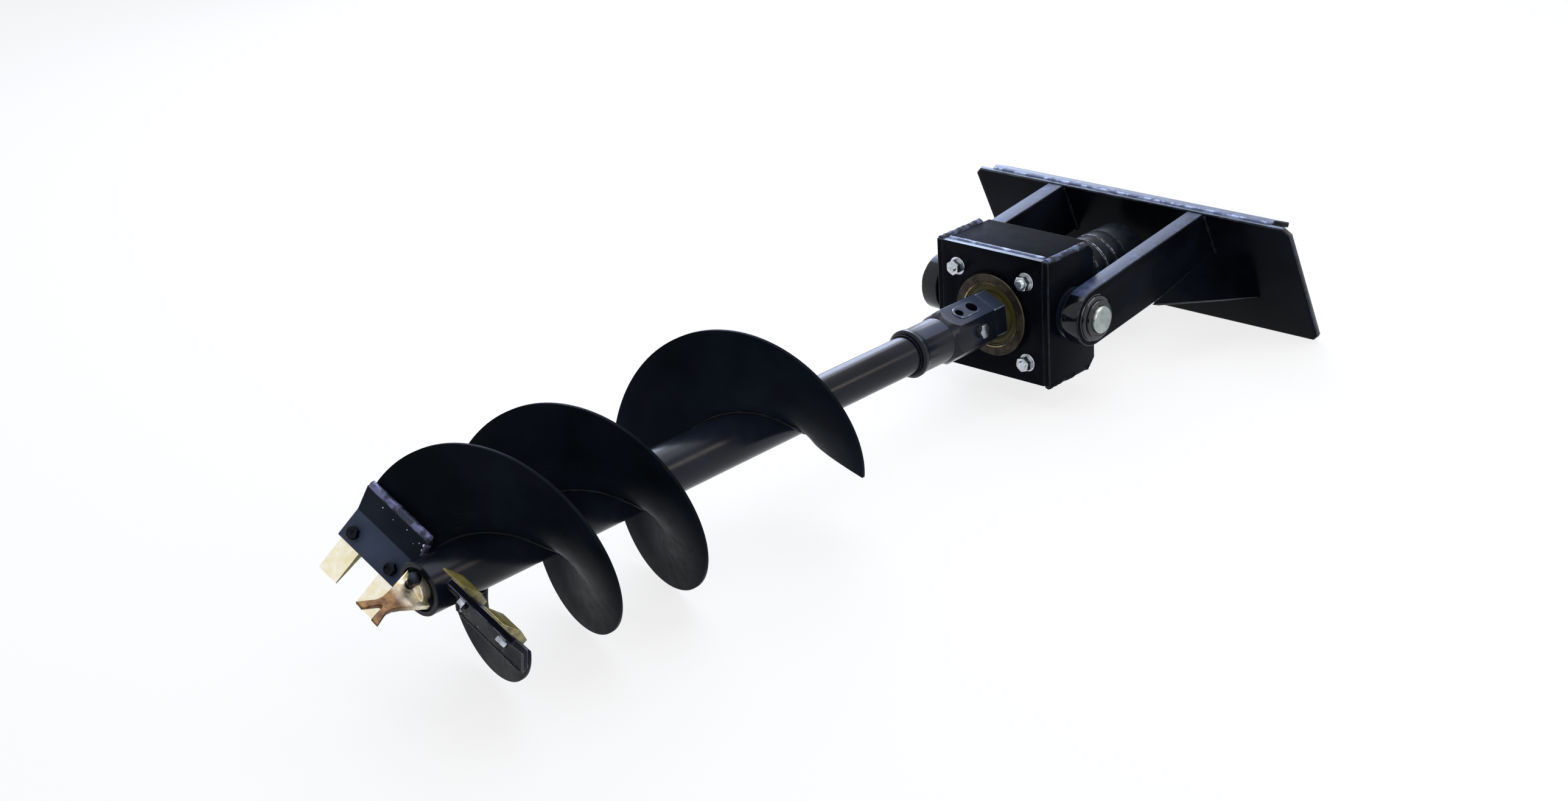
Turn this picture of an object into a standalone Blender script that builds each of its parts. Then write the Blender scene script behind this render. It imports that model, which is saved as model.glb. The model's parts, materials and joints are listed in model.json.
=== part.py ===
import bmesh
import bpy
from math import acos, atan2, ceil, cos, pi, radians, sin, sqrt, tan
from mathutils import Euler, Matrix, Vector

# Earth auger drive: a mount plate with two arms carries a planetary drive box on two pivot
# pins, and the drive turns a flighted auger. Lengths are metres, angles degrees.
# X runs along the pivot pins, +Y from the cutting head to the mount plate, +Z up.

# Gaps that keep touching pieces apart, and how far a cutter reaches past what it cuts
FIT_GAP = 0.0003
RUN_GAP = 0.0010
CUT_REACH = 0.0100
BEVEL_WIDTH = 0.0015

# How finely round shapes are drawn
ROUND_STEPS = 32
FINE_STEPS = 48
BOLT_STEPS = 16
HALF_ROUND_STEPS = 16
FLIGHT_STEP_DEG = 9.0
SMOOTH_DEG = 32.0
BEVEL_LIMIT_DEG = 40.0
MERGE_GAP = 0.00002

# How the pieces stand on the ground: the drive and the mount frame tilt about the pivot pins
DRIVE_TILT_DEG = -1.6
FRAME_TILT_DEG = 5.62

# Drive box, an open-backed weldment of plate
BOX_SIDE_ROOM = 0.0206
BOX_ROOM = 0.0135
BOX_DEPTH = 0.1410
BOX_RISE = 0.0022
BOX_PLATE = 0.0140
BOX_SIDE = 0.0140
SIDE_CHAMFER = 0.0160

# Pivot pins, their flanges, bushings and keepers
PIVOT_BACK = 0.0676
PIVOT_RISE = 0.0094
PIN_RADIUS = 0.0262
PIN_PROUD = 0.0060
PIN_FLANGE_RADIUS = 0.0480
PIN_FLANGE_GROOVE = 0.0040
PIN_CHAMFER = 0.0015
BUSHING_WALL = 0.0050
BOSS_RADIUS = 0.0430
BOSS_LENGTH = 0.0080
KEEPER_RADIUS = 0.0360
KEEPER_THICK = 0.0055

# Arms and mount plate, measured from the pivot axis
ARM_ROOM = 0.0180
ARM_THICK = 0.0358
ARM_HALF_DEPTH = 0.0540
PLATE_ROOM = 0.0143
PLATE_WIDTH = 0.7452
PLATE_HEIGHT = 0.2884
PLATE_THICK = 0.0095
PLATE_LEAN_DEG = 17.85
PLATE_CORNER = 0.0140
HOOK_TOP = 0.0110
HOOK_DROP = 0.0380
HOOK_EDGE = 0.0070
HOOK_WIDTH = 0.6640
FOOT_REACH = 0.0480
FOOT_RISE = 0.0180
FOOT_THICK = 0.0095
FOOT_WIDTH = 0.6200
LATCH_SLOT_WIDTH = 0.0620
LATCH_SLOT_DEPTH = 0.0190
LATCH_SLOT_INSET = 0.0650
GUSSET_THICK = 0.0080
GUSSET_START = 0.1790
GUSSET_DROP = 0.1960
GUSSET_SPREAD = 0.2596
GUSSET_TOP_DROP = 0.0930
GUSSET_GROW_SHARE = 0.05

# Planetary gearing, by tooth count and module
GEAR_MODULE = 0.00375
SUN_TEETH = 12
PLANET_TEETH = 15
RING_TEETH = SUN_TEETH + 2 * PLANET_TEETH
PLANET_COUNT = 3
PRESSURE_DEG = 25.0
BACKLASH_SHARE = 0.10
ADDENDUM_SHARE = 0.92
DEDENDUM_SHARE = 1.20
FLANK_POINTS = 3
GEAR_FACE = 0.0240
PLANET_BORE = 0.0120
CARRIER_LIP = 0.003375
CARRIER_THICK = 0.0140

# Gear case, bearing housing, bearings and seal, from the front face of the box
HOUSING_RADIUS = 0.0804
HOUSING_PROUD = 0.0100
HOUSING_FLANGE_THICK = 0.0140
HOUSING_BARREL = 0.0740
BEARING_RADIUS = 0.0560
BEARING_WIDTH = 0.0220
BEARING_SHOULDER = 0.0520
BEARING_SPACING = 0.0120
SEAL_RADIUS = 0.0600
SEAL_THICK = 0.0110
SEAL_LIP = 0.0030
JOURNAL_RADIUS = 0.0330
CASE_WALL = 0.01625
CASE_LENGTH = 0.0850
CASE_SPACE = 0.0860
COVER_THICK = 0.0220
COVER_BORE = 0.0300
MOTOR_PILOT = 0.0080

# Hydraulic motor
MOTOR_RADIUS = 0.0627
MOTOR_NECK_RADIUS = 0.0560
MOTOR_FLANGE_RADIUS = 0.0720
MOTOR_FLANGE_THICK = 0.0180
MOTOR_BODY_LENGTH = 0.1900
MOTOR_CAP_LENGTH = 0.0720
MOTOR_GROOVE = 0.0025
MOTOR_GROOVE_WIDTH = 0.0050
MOTOR_CHAMFER = 0.0080
MOTOR_NECK_SHARE = 0.2
MOTOR_BANDS = 4
SUN_SHAFT_RADIUS = 0.0130
SUN_SHAFT_REACH = 0.0700
PORT_RADIUS = 0.0150
PORT_HEX = 0.0400
PORT_HEIGHT = 0.0200
PORT_CAP_RADIUS = 0.0180
PORT_CAP_LENGTH = 0.0140
PORT_SPREAD_DEG = 34.0

# Front fasteners, four studs with nut and washer
STUD_INSET = 0.0500
STUD_RADIUS = 0.0079
STUD_PROUD = 0.0230
WASHER_RADIUS = 0.0172
WASHER_THICK = 0.0028
NUT_HEX = 0.0254
NUT_THICK = 0.0150

# Output hub: hexagon collar, round neck and weld ring
SHAFT_HEX = 0.0508
SHAFT_LENGTH = 0.1280
HUB_START = 0.0140
HUB_HEX = 0.0920
HUB_HEX_LENGTH = 0.1480
HUB_TURN_DEG = 66.5
HUB_STEP_LENGTH = 0.0340
HUB_STEP_DEPTH = 0.0020
HUB_NECK_RADIUS = 0.0425
HUB_NECK_LENGTH = 0.0750
HUB_RING_RADIUS = 0.0450
HUB_RING_LENGTH = 0.0150
HUB_RING_CHAMFER = 0.0040
HUB_SPIGOT = 0.0300
HUB_BOSS_WIDTH = 0.0300
HUB_BOSS_LENGTH = 0.0620
HUB_BOSS_HEIGHT = 0.0025
HUB_BOSS_STEPS = 8
HUB_HOLE_FRONT = 0.1216
HUB_HOLE_BACK = 0.0840
HUB_HOLE_SMALL = 0.0065
HUB_HOLE_LARGE = 0.0090
HUB_BOLT_PLACE = 0.0930
HUB_BOLT_RADIUS = 0.0080
BOLT_HEAD_HEX = 0.0240
BOLT_HEAD_THICK = 0.0110

# Auger tubes and flighting, placed by distance in front of the box
TUBE_RADIUS = 0.0357
TUBE_WALL = 0.0060
CORE_RADIUS = 0.0440
CORE_LEAD = 0.0335
CORE_END = 1.3900
SLEEVE_OVERLAP = 0.0700
END_RECESS = 0.0060
END_PLATE_THICK = 0.0160
FLIGHT_RADIUS = 0.1920
FLIGHT_PITCH = 0.3773
FLIGHT_THICK = 0.0065
FLIGHT_TO_BAR = 0.0069
FLIGHT_START_DEG = -66.0
FLIGHT_TIP_DEG = -22.0
FLIGHT_ROOT_DEG = -60.0
FLIGHT_TURNS_TO_BAR_DEG = 720.0
FLIGHT_PAST_BAR_DEG = 2.0
SECOND_START_DEG = 395.0
FLIGHT_CUT_BACK_SHARE = 0.25
FLIGHT_CUT_AHEAD_SHARE = 0.4

# Cutter bars at the head, bent plates with their length along one radius
BAR_TURN_DEG = -24.5
BAR_REACH = 0.1920
BAR_THICK = 0.0120
BAR_BACK = 0.0345
BAR_BEND = 0.0100
BAR_TIP = 0.0490
BAR_BACK_PLACE = 1.3405
BAR_BEND_PLACE = 1.3515
BAR_TIP_PLACE = 1.3835
TOOTH_WIDTH = 0.0420
TOOTH_LENGTH = 0.0980
TOOTH_OUT = 0.0600
TOOTH_THICK = 0.0130
TOOTH_EDGE = 0.0030
TOOTH_TAPER_SHARE = 0.88
TOOTH_TAIL_SHARE = 0.7
TOOTH_THREAD_SHARE = 0.6
TOOTH_INNER_PLACE = 0.0770
TOOTH_OUTER_PLACE = 0.1680
TOOTH_BOLT_INSET = 0.0190
TOOTH_BOLT_RADIUS = 0.0065
TOOTH_BOLT_HEX = 0.0190
TOOTH_BOLT_HEAD = 0.0100

# Fishtail pilot
PILOT_SHANK_RADIUS = 0.0210
PILOT_SHANK_DEPTH = 0.0500
PILOT_LENGTH = 0.0985
PILOT_HALF_WIDTH = 0.0330
PILOT_THICK = 0.0125
PILOT_TURN_DEG = -45.0
PILOT_TWIST_DEG = 16.0
PILOT_BOLT_PLACE = 0.0125
PILOT_BOLT_SIDE = 0.0110
PILOT_BOLT_RADIUS = 0.0060
PILOT_BOLT_HEX = 0.0190
PILOT_BOLT_HEAD = 0.0090

# Along the pilot: how far out, its outer edge, the inner edge of a prong, and its thickness
PILOT_SHARES = (
    (0.00, 1.00, 0.00, 1.00),
    (0.30, 0.68, 0.00, 1.00),
    (0.46, 0.50, 0.00, 0.96),
    (0.60, 0.39, 0.00, 0.90),
    (0.71, 0.40, 0.00, 0.82),
    (0.75, 0.44, 0.10, 0.78),
    (0.86, 0.60, 0.20, 0.62),
    (1.00, 0.82, 0.34, 0.34))

for obj in list(bpy.data.objects):
    bpy.data.objects.remove(obj, do_unlink=True)
scene = bpy.context.scene
parts = bpy.data.collections.new("Earth_Auger_Drive")
cutters = bpy.data.collections.new("Cutters")
scene.collection.children.link(parts)
scene.collection.children.link(cutters)


def principled(name, color, metallic, roughness):
    material = bpy.data.materials.new(name)
    material.use_nodes = True
    shader = material.node_tree.nodes["Principled BSDF"]
    shader.inputs["Base Color"].default_value = (*color, 1)
    shader.inputs["Metallic"].default_value = metallic
    shader.inputs["Roughness"].default_value = roughness
    return material


black_paint = principled("Black_Enamel_Paint", (0.012, 0.013, 0.016), 0.0, 0.3)
worn_black = principled("Worn_Black_Paint", (0.02, 0.021, 0.025), 0.0, 0.42)
bright_zinc = principled("Bright_Zinc_Plate", (0.72, 0.73, 0.74), 1.0, 0.3)
yellow_zinc = principled("Yellow_Zinc_Plate", (0.75, 0.55, 0.2), 1.0, 0.35)
machined_steel = principled("Machined_Steel", (0.45, 0.45, 0.44), 1.0, 0.35)
gear_steel = principled("Gear_Steel", (0.3, 0.3, 0.3), 1.0, 0.4)
cast_iron = principled("Ductile_Iron", (0.15, 0.15, 0.15), 1.0, 0.55)
seal_rubber = principled("Seal_Rubber", (0.03, 0.028, 0.02), 0.0, 0.6)
bronze = principled("Bearing_Bronze", (0.6, 0.4, 0.18), 1.0, 0.4)


def empty(name, parent=None, location=(0, 0, 0), turn_deg=(0, 0, 0)):
    holder = bpy.data.objects.new(name, None)
    parts.objects.link(holder)
    holder.parent = parent
    holder.location = location
    holder.rotation_euler = Euler([radians(angle) for angle in turn_deg])
    return holder


def piece(name, mesh_data, material, parent):
    mesh = bpy.data.meshes.new(name)
    mesh_data.to_mesh(mesh)
    mesh_data.free()
    obj = bpy.data.objects.new(name, mesh)
    obj.parent = parent
    if material is None:
        cutters.objects.link(obj)
        obj.hide_render = True
        obj.display_type = "WIRE"
        return obj
    parts.objects.link(obj)
    mesh.materials.append(material)
    mesh.polygons.foreach_set("use_smooth", [True] * len(mesh.polygons))
    mesh.set_sharp_from_angle(angle=radians(SMOOTH_DEG))
    return obj


def along_axis(axis, a, b, t):
    return {"x": (t, a, b), "y": (b, t, a), "z": (a, b, t)}[axis]


def prism(name, outline, start, end, material=None, parent=None, axis="z"):
    shape = bmesh.new()
    loops = [[shape.verts.new(along_axis(axis, a, b, t)) for a, b in outline] for t in (start, end)]
    shape.faces.new(list(reversed(loops[0])))
    shape.faces.new(loops[1])
    count = len(outline)
    for i in range(count):
        j = (i + 1) % count
        shape.faces.new((loops[0][i], loops[0][j], loops[1][j], loops[1][i]))
    bmesh.ops.recalc_face_normals(shape, faces=shape.faces)
    return piece(name, shape, material, parent)


def block(name, low, high, material=None, parent=None):
    outline = [(low[0], low[1]), (high[0], low[1]), (high[0], high[1]), (low[0], high[1])]
    return prism(name, outline, low[2], high[2], material, parent)


def circle(radius, steps, centre=(0, 0), turn=0.0):
    turns = [turn + 2 * pi * i / steps for i in range(steps)]
    return [(centre[0] + radius * cos(angle), centre[1] + radius * sin(angle)) for angle in turns]


def hexagon(across_flats, centre=(0, 0), turn=0.0):
    return circle(across_flats / sqrt(3), 6, centre, turn)


def rod(name, radius, start, end, material=None, parent=None, axis="z", centre=(0, 0), steps=ROUND_STEPS):
    return prism(name, circle(radius, steps, centre), start, end, material, parent, axis)


def revolve(name, profile, material=None, parent=None, steps=ROUND_STEPS, ring=True):
    shape = bmesh.new()
    points = [shape.verts.new((radius, 0, height)) for radius, height in profile]
    pairs = list(zip(points, points[1:]))
    if ring:
        pairs.append((points[-1], points[0]))
    for pair in pairs:
        shape.edges.new(pair)
    obj = piece(name, shape, material, parent)
    screw = obj.modifiers.new("Turned", "SCREW")
    screw.axis = "Z"
    screw.steps = steps
    screw.render_steps = steps
    screw.use_merge_vertices = True
    screw.merge_threshold = MERGE_GAP
    screw.use_smooth_shade = True
    return obj


def boolean(obj, other, operation="DIFFERENCE"):
    modifier = obj.modifiers.new(operation.title() + "_" + other.name, "BOOLEAN")
    modifier.operation = operation
    modifier.solver = "EXACT"
    modifier.object = other
    return obj


def bevel(obj, width=BEVEL_WIDTH):
    modifier = obj.modifiers.new("Eased_Edges", "BEVEL")
    modifier.width = width
    modifier.segments = 1
    modifier.limit_method = "ANGLE"
    modifier.angle_limit = radians(BEVEL_LIMIT_DEG)
    return obj


def placed(obj, location=(0, 0, 0), turn=(0, 0, 0)):
    obj.location = location
    obj.rotation_euler = Euler(turn)
    return obj


def sides():
    return (("right", 1), ("left", -1))


# Sizes worked out from the gear set, from the inside to the outside
sun_radius = GEAR_MODULE * SUN_TEETH / 2
planet_radius = GEAR_MODULE * PLANET_TEETH / 2
ring_radius = GEAR_MODULE * RING_TEETH / 2
centre_distance = sun_radius + planet_radius
carrier_radius = centre_distance + PLANET_BORE + CARRIER_LIP
case_radius = ring_radius + CASE_WALL
box_width = 2 * (case_radius + BOX_SIDE_ROOM + BOX_SIDE)
box_height = 2 * (case_radius + BOX_ROOM + BOX_PLATE)

# Places along the drive axis, from the box's front face backwards
carrier_front = -HOUSING_FLANGE_THICK - BOX_PLATE - BEARING_WIDTH - BEARING_SPACING - 2 * RUN_GAP
planet_front = carrier_front - CARRIER_THICK - RUN_GAP
planet_back = planet_front - GEAR_FACE
case_front = -BOX_PLATE - HOUSING_FLANGE_THICK - 3 * FIT_GAP
case_back = case_front - CASE_LENGTH
cover_back = case_back - FIT_GAP - COVER_THICK
motor_back = cover_back - FIT_GAP - MOTOR_FLANGE_THICK - MOTOR_BODY_LENGTH
motor_tail = motor_back - FIT_GAP - MOTOR_CAP_LENGTH

# Places of the flighting, from the cutter bars backwards
flight_zero = BAR_BACK_PLACE - FLIGHT_TO_BAR
flight_zero -= FLIGHT_PITCH * (FLIGHT_TURNS_TO_BAR_DEG + BAR_TURN_DEG) / 360
core_start = flight_zero + FLIGHT_PITCH * FLIGHT_START_DEG / 360 - CORE_LEAD

# Empties that carry the three bodies: the frame, the drive about the pins, the auger about its axis
root = empty("Auger_Drive_Root")
frame_pivot = empty("Frame_Pivot", root, turn_deg=(FRAME_TILT_DEG, 0, 0))
drive_pivot = empty("Drive_Pivot", root, turn_deg=(DRIVE_TILT_DEG, 0, 0))
drive_axis = empty("Drive_Axis", drive_pivot, (0, -PIVOT_BACK, -PIVOT_RISE), (90, 0, 0))
auger_axis = empty("Auger_Axis", drive_axis)
pin_axis = empty("Pin_Axis", drive_pivot)

arm_inner = box_width / 2 + ARM_ROOM
arm_outer = arm_inner + ARM_THICK
lean = radians(PLATE_LEAN_DEG)
plate_top = ARM_HALF_DEPTH + FIT_GAP
plate_reach = PLATE_ROOM - motor_tail - PIVOT_BACK
plate_face = empty("Plate_Face", frame_pivot, (0, plate_reach, plate_top), (PLATE_LEAN_DEG, 0, 0))
pin_end = arm_outer + FIT_GAP + BOSS_LENGTH + FIT_GAP + KEEPER_THICK + PIN_PROUD
bushing_radius = PIN_RADIUS + RUN_GAP / 2 + BUSHING_WALL


def plate_front(height, gap=FIT_GAP):
    return plate_reach + (plate_top - height) * tan(lean) - gap / cos(lean)


def build_mount_plate():
    half = PLATE_WIDTH / 2
    corner = PLATE_CORNER
    low = -PLATE_HEIGHT
    outline = [(low, -half + corner), (low + corner, -half), (-corner, -half), (0, -half + corner)]
    outline += [(0, half - corner), (-corner, half), (low + corner, half), (low, half - corner)]
    bevel(prism("mount_plate", outline, 0, PLATE_THICK, black_paint, plate_face, "y"))

    back = PLATE_THICK + FIT_GAP
    outer = back + HOOK_TOP + HOOK_DROP
    hook = [(back, 0), (back, -HOOK_TOP), (outer - HOOK_EDGE, -HOOK_DROP - HOOK_EDGE)]
    hook += [(outer, -HOOK_DROP), (back + HOOK_TOP, 0)]
    bevel(prism("coupler_hook", hook, -HOOK_WIDTH / 2, HOOK_WIDTH / 2, black_paint, plate_face, "x"))

    foot = [(back, low), (back + FOOT_REACH, low + FOOT_RISE)]
    foot += [(back + FOOT_REACH, low + FOOT_RISE + FOOT_THICK), (back, low + FOOT_THICK)]
    flange = prism("coupler_foot", foot, -FOOT_WIDTH / 2, FOOT_WIDTH / 2, black_paint, plate_face, "x")
    middle = back + FOOT_REACH / 2
    for side, sign in sides():
        centre = sign * (FOOT_WIDTH / 2 - LATCH_SLOT_INSET)
        near = (centre - LATCH_SLOT_WIDTH / 2, middle - LATCH_SLOT_DEPTH / 2, low - CUT_REACH)
        far = (centre + LATCH_SLOT_WIDTH / 2, middle + LATCH_SLOT_DEPTH / 2, low + FOOT_RISE + 2 * CUT_REACH)
        boolean(flange, block("latch_slot_" + side, near, far, None, plate_face))


def build_arm(side, sign):
    rounds = [radians(90) + pi * i / HALF_ROUND_STEPS for i in range(HALF_ROUND_STEPS + 1)]
    outline = [(ARM_HALF_DEPTH * cos(angle), ARM_HALF_DEPTH * sin(angle)) for angle in rounds]
    outline.append((plate_front(-ARM_HALF_DEPTH), -ARM_HALF_DEPTH))
    outline.append((plate_front(ARM_HALF_DEPTH), ARM_HALF_DEPTH))
    ends = sorted((sign * arm_inner, sign * arm_outer))
    arm = prism("arm_" + side, outline, ends[0], ends[1], black_paint, frame_pivot, "x")
    bore_ends = sorted((sign * (arm_inner - CUT_REACH), sign * (arm_outer + CUT_REACH)))
    bore = bushing_radius + FIT_GAP
    boolean(arm, rod("arm_bore_" + side, bore, bore_ends[0], bore_ends[1], None, frame_pivot, "x"))
    bevel(arm)


def build_arm_rings(side, sign):
    holder = empty("Arm_Ring_Axis_" + side, frame_pivot, turn_deg=(0, 90 * sign, 0))
    inner = PIN_RADIUS + RUN_GAP / 2
    start = arm_outer + FIT_GAP
    end = start + BOSS_LENGTH
    revolve("arm_boss_" + side, [
        (BOSS_RADIUS - BEVEL_WIDTH, end), (BOSS_RADIUS, end - BEVEL_WIDTH), (BOSS_RADIUS, start),
        (bushing_radius + FIT_GAP, start), (bushing_radius + FIT_GAP, end)], black_paint, holder)
    revolve("pivot_bushing_" + side, [
        (bushing_radius, end), (bushing_radius, arm_inner), (inner, arm_inner), (inner, end)],
        bronze, holder)


def build_gusset(side, sign):
    corners = [Vector((sign * arm_outer, GUSSET_START, -ARM_HALF_DEPTH))]
    top = plate_top - GUSSET_TOP_DROP * cos(lean)
    corners.append(Vector((sign * arm_outer, plate_reach + GUSSET_TOP_DROP * sin(lean), top)))
    low = plate_top - GUSSET_DROP * cos(lean)
    corners.append(Vector((sign * GUSSET_SPREAD, plate_reach + GUSSET_DROP * sin(lean), low)))
    middle = sum(corners, Vector()) / len(corners)
    grown = [point + (point - middle) * GUSSET_GROW_SHARE for point in corners]
    normal = (corners[1] - corners[0]).cross(corners[2] - corners[0]).normalized()
    if normal.z > 0:
        normal = -normal
    shape = bmesh.new()
    layers = []
    for depth in (0, GUSSET_THICK):
        layers.append([shape.verts.new(point + normal * depth) for point in grown])
    shape.faces.new(layers[0])
    shape.faces.new(list(reversed(layers[1])))
    for i in range(3):
        j = (i + 1) % 3
        shape.faces.new((layers[0][j], layers[0][i], layers[1][i], layers[1][j]))
    bmesh.ops.recalc_face_normals(shape, faces=shape.faces)
    gusset = piece("gusset_" + side, shape, black_paint, frame_pivot)
    reach = PLATE_HEIGHT
    ends = sorted((0, sign * (arm_outer + FIT_GAP)))
    arm_side = block("gusset_arm_cut_" + side, (ends[0], 0, -reach), (ends[1], 2 * plate_reach, reach),
                     None, frame_pivot)
    boolean(gusset, arm_side)
    wide = PLATE_WIDTH
    plate_side = block("gusset_plate_cut_" + side, (-wide, -FIT_GAP, -wide), (wide, wide, wide), None,
                       plate_face)
    boolean(gusset, plate_side)


def build_box():
    back = -BOX_DEPTH
    low = BOX_RISE - box_height / 2
    high = BOX_RISE + box_height / 2
    inner = box_width / 2 - BOX_SIDE - FIT_GAP
    front = block("box_front_plate", (-inner, low, -BOX_PLATE), (inner, high, 0), black_paint, drive_axis)
    opening = HOUSING_RADIUS + FIT_GAP
    boolean(front, rod("front_opening", opening, -2 * BOX_PLATE, BOX_PLATE, None, drive_axis,
                       steps=FINE_STEPS))
    for name, x, y in stud_places():
        hole = STUD_RADIUS + FIT_GAP
        boolean(front, rod("front_hole_" + name, hole, -2 * BOX_PLATE, BOX_PLATE, None, drive_axis, "z", (x, y),
                           BOLT_STEPS))
    behind = -BOX_PLATE - FIT_GAP
    for name, base in (("box_top_plate", high - BOX_PLATE), ("box_bottom_plate", low)):
        bevel(block(name, (-inner, base, back), (inner, base + BOX_PLATE, behind), black_paint, drive_axis))
    for side, sign in sides():
        cut = SIDE_CHAMFER
        outline = [(low, 0), (low, back + cut), (low + cut, back)]
        outline += [(high - cut, back), (high, back + cut), (high, 0)]
        ends = sorted((sign * (box_width / 2 - BOX_SIDE), sign * box_width / 2))
        bevel(prism("box_side_plate_" + side, outline, ends[0], ends[1], black_paint, drive_axis, "x"))


def stud_places():
    half = box_width / 2 - STUD_INSET
    return (("upper_right", half, half), ("upper_left", -half, half),
            ("lower_right", half, -half), ("lower_left", -half, -half))


def build_pins(side, sign):
    holder = empty("Pin_Turn_" + side, pin_axis, turn_deg=(0, 90 * sign, 0))
    start = box_width / 2 + FIT_GAP
    flange_end = arm_inner - RUN_GAP
    middle = (start + flange_end) / 2
    groove = PIN_FLANGE_GROOVE
    revolve("pivot_pin_" + side, [
        (0, pin_end), (PIN_RADIUS - PIN_CHAMFER, pin_end), (PIN_RADIUS, pin_end - PIN_CHAMFER),
        (PIN_RADIUS, flange_end), (PIN_FLANGE_RADIUS, flange_end),
        (PIN_FLANGE_RADIUS, middle + groove / 2), (PIN_FLANGE_RADIUS - groove, middle),
        (PIN_FLANGE_RADIUS, middle - groove / 2), (PIN_FLANGE_RADIUS, start), (0, start)],
        bright_zinc, holder, ring=False)
    keeper_start = arm_outer + FIT_GAP + BOSS_LENGTH + FIT_GAP
    keeper_end = keeper_start + KEEPER_THICK
    revolve("pin_keeper_" + side, [
        (KEEPER_RADIUS - BEVEL_WIDTH, keeper_end), (KEEPER_RADIUS, keeper_end - BEVEL_WIDTH),
        (KEEPER_RADIUS, keeper_start), (PIN_RADIUS + FIT_GAP, keeper_start),
        (PIN_RADIUS + FIT_GAP, keeper_end)], worn_black, holder)


def involute(angle):
    return tan(angle) - angle


def tooth_angle(radius, teeth, thick_share):
    # Half the angle that a tooth, or the space of an internal gear, takes up at this radius
    pressure = radians(PRESSURE_DEG)
    base = GEAR_MODULE * teeth / 2 * cos(pressure)
    here = acos(min(1.0, base / radius))
    return pi * thick_share / teeth + involute(pressure) - involute(here)


def gear_outline(teeth, low, high, thick_share, turn=0.0):
    base = GEAR_MODULE * teeth / 2 * cos(radians(PRESSURE_DEG))
    first = max(low, base)
    radii = [first + (high - first) * i / (FLANK_POINTS - 1) for i in range(FLANK_POINTS)]
    if low < base:
        radii.insert(0, low)
    outline = []
    for tooth in range(teeth):
        middle = turn + 2 * pi * tooth / teeth
        for sign, flank in ((-1, radii), (1, reversed(radii))):
            for radius in flank:
                angle = middle + sign * tooth_angle(max(radius, base), teeth, thick_share)
                outline.append((radius * cos(angle), radius * sin(angle)))
    return outline


def build_gearing():
    tip = GEAR_MODULE * ADDENDUM_SHARE
    root_depth = GEAR_MODULE * DEDENDUM_SHARE
    thin_share = 0.5 - BACKLASH_SHARE / 2
    sun = gear_outline(SUN_TEETH, sun_radius - root_depth, sun_radius + tip, thin_share)
    sun_axis = empty("Sun_Axis", drive_axis)
    gear = prism("sun_gear_shaft", sun, planet_back, planet_front, gear_steel, sun_axis)
    shaft_back = cover_back - SUN_SHAFT_REACH
    shaft = rod("sun_shaft_add", SUN_SHAFT_RADIUS, shaft_back, planet_front - RUN_GAP, None, sun_axis,
                steps=BOLT_STEPS)
    boolean(gear, shaft, "UNION")
    for number in range(PLANET_COUNT):
        place = 2 * pi * number / PLANET_COUNT
        x = centre_distance * cos(place)
        y = centre_distance * sin(place)
        holder = empty("Planet_Axis_" + str(number + 1), auger_axis, (x, y, 0))
        # A tooth space of the planet faces the sun's tooth on the line of centres
        sun_phase = place * SUN_TEETH / (2 * pi)
        turn = place + pi + pi / PLANET_TEETH + (sun_phase % 1) * 2 * pi / PLANET_TEETH
        low = planet_radius - root_depth
        planet = gear_outline(PLANET_TEETH, low, planet_radius + tip, thin_share, turn)
        wheel = prism("planet_gear_" + str(number + 1), planet, planet_back, planet_front, gear_steel, holder)
        boolean(wheel, rod("planet_bore_" + str(number + 1), PLANET_BORE, planet_back - CUT_REACH,
                           planet_front + CUT_REACH, None, holder, steps=BOLT_STEPS))
    case = rod("ring_gear_case", case_radius, case_back, case_front, cast_iron, drive_axis, steps=FINE_STEPS)
    wide_share = 0.5 + BACKLASH_SHARE / 2
    ring_turn = pi / RING_TEETH * ((PLANET_TEETH + 1) % 2)
    teeth = gear_outline(RING_TEETH, ring_radius - tip, ring_radius + root_depth, wide_share, ring_turn)
    end = case_front + CUT_REACH
    boolean(case, prism("ring_teeth_cut", teeth, case_back - CUT_REACH, end, None, drive_axis))
    boolean(case, rod("case_space_cut", CASE_SPACE, planet_front + RUN_GAP, end, None, drive_axis))


def build_carrier():
    shaft_end = HUB_START + SHAFT_LENGTH
    front = HOUSING_PROUD
    carrier = revolve("output_carrier_shaft", [
        (0, front), (JOURNAL_RADIUS, front), (JOURNAL_RADIUS, carrier_front),
        (carrier_radius, carrier_front), (carrier_radius, carrier_front - CARRIER_THICK),
        (0, carrier_front - CARRIER_THICK)],
        machined_steel, auger_axis, ring=False)
    turn = radians(HUB_TURN_DEG + 30)
    hexes = prism("shaft_hex_add", hexagon(SHAFT_HEX, turn=turn), 0, shaft_end, None, auger_axis)
    boolean(carrier, hexes, "UNION")
    for number in range(PLANET_COUNT):
        place = 2 * pi * number / PLANET_COUNT
        centre = (centre_distance * cos(place), centre_distance * sin(place))
        start = planet_back - RUN_GAP
        pin = rod("planet_pin_add_" + str(number + 1), PLANET_BORE - FIT_GAP, start,
                  carrier_front - CARRIER_THICK / 2, None, auger_axis, "z", centre, BOLT_STEPS)
        boolean(carrier, pin, "UNION")
    hub_bolt_hole(carrier, "shaft")


def hub_bolt_hole(obj, name):
    holder = empty("Hub_Bolt_Turn_" + name, auger_axis, turn_deg=(0, 0, HUB_TURN_DEG - 60))
    hole = rod("hub_bolt_hole_" + name, HUB_BOLT_RADIUS + FIT_GAP, -HUB_HEX, HUB_HEX, None, holder, "x",
               (0, HUB_BOLT_PLACE), BOLT_STEPS)
    boolean(obj, hole)


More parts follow.
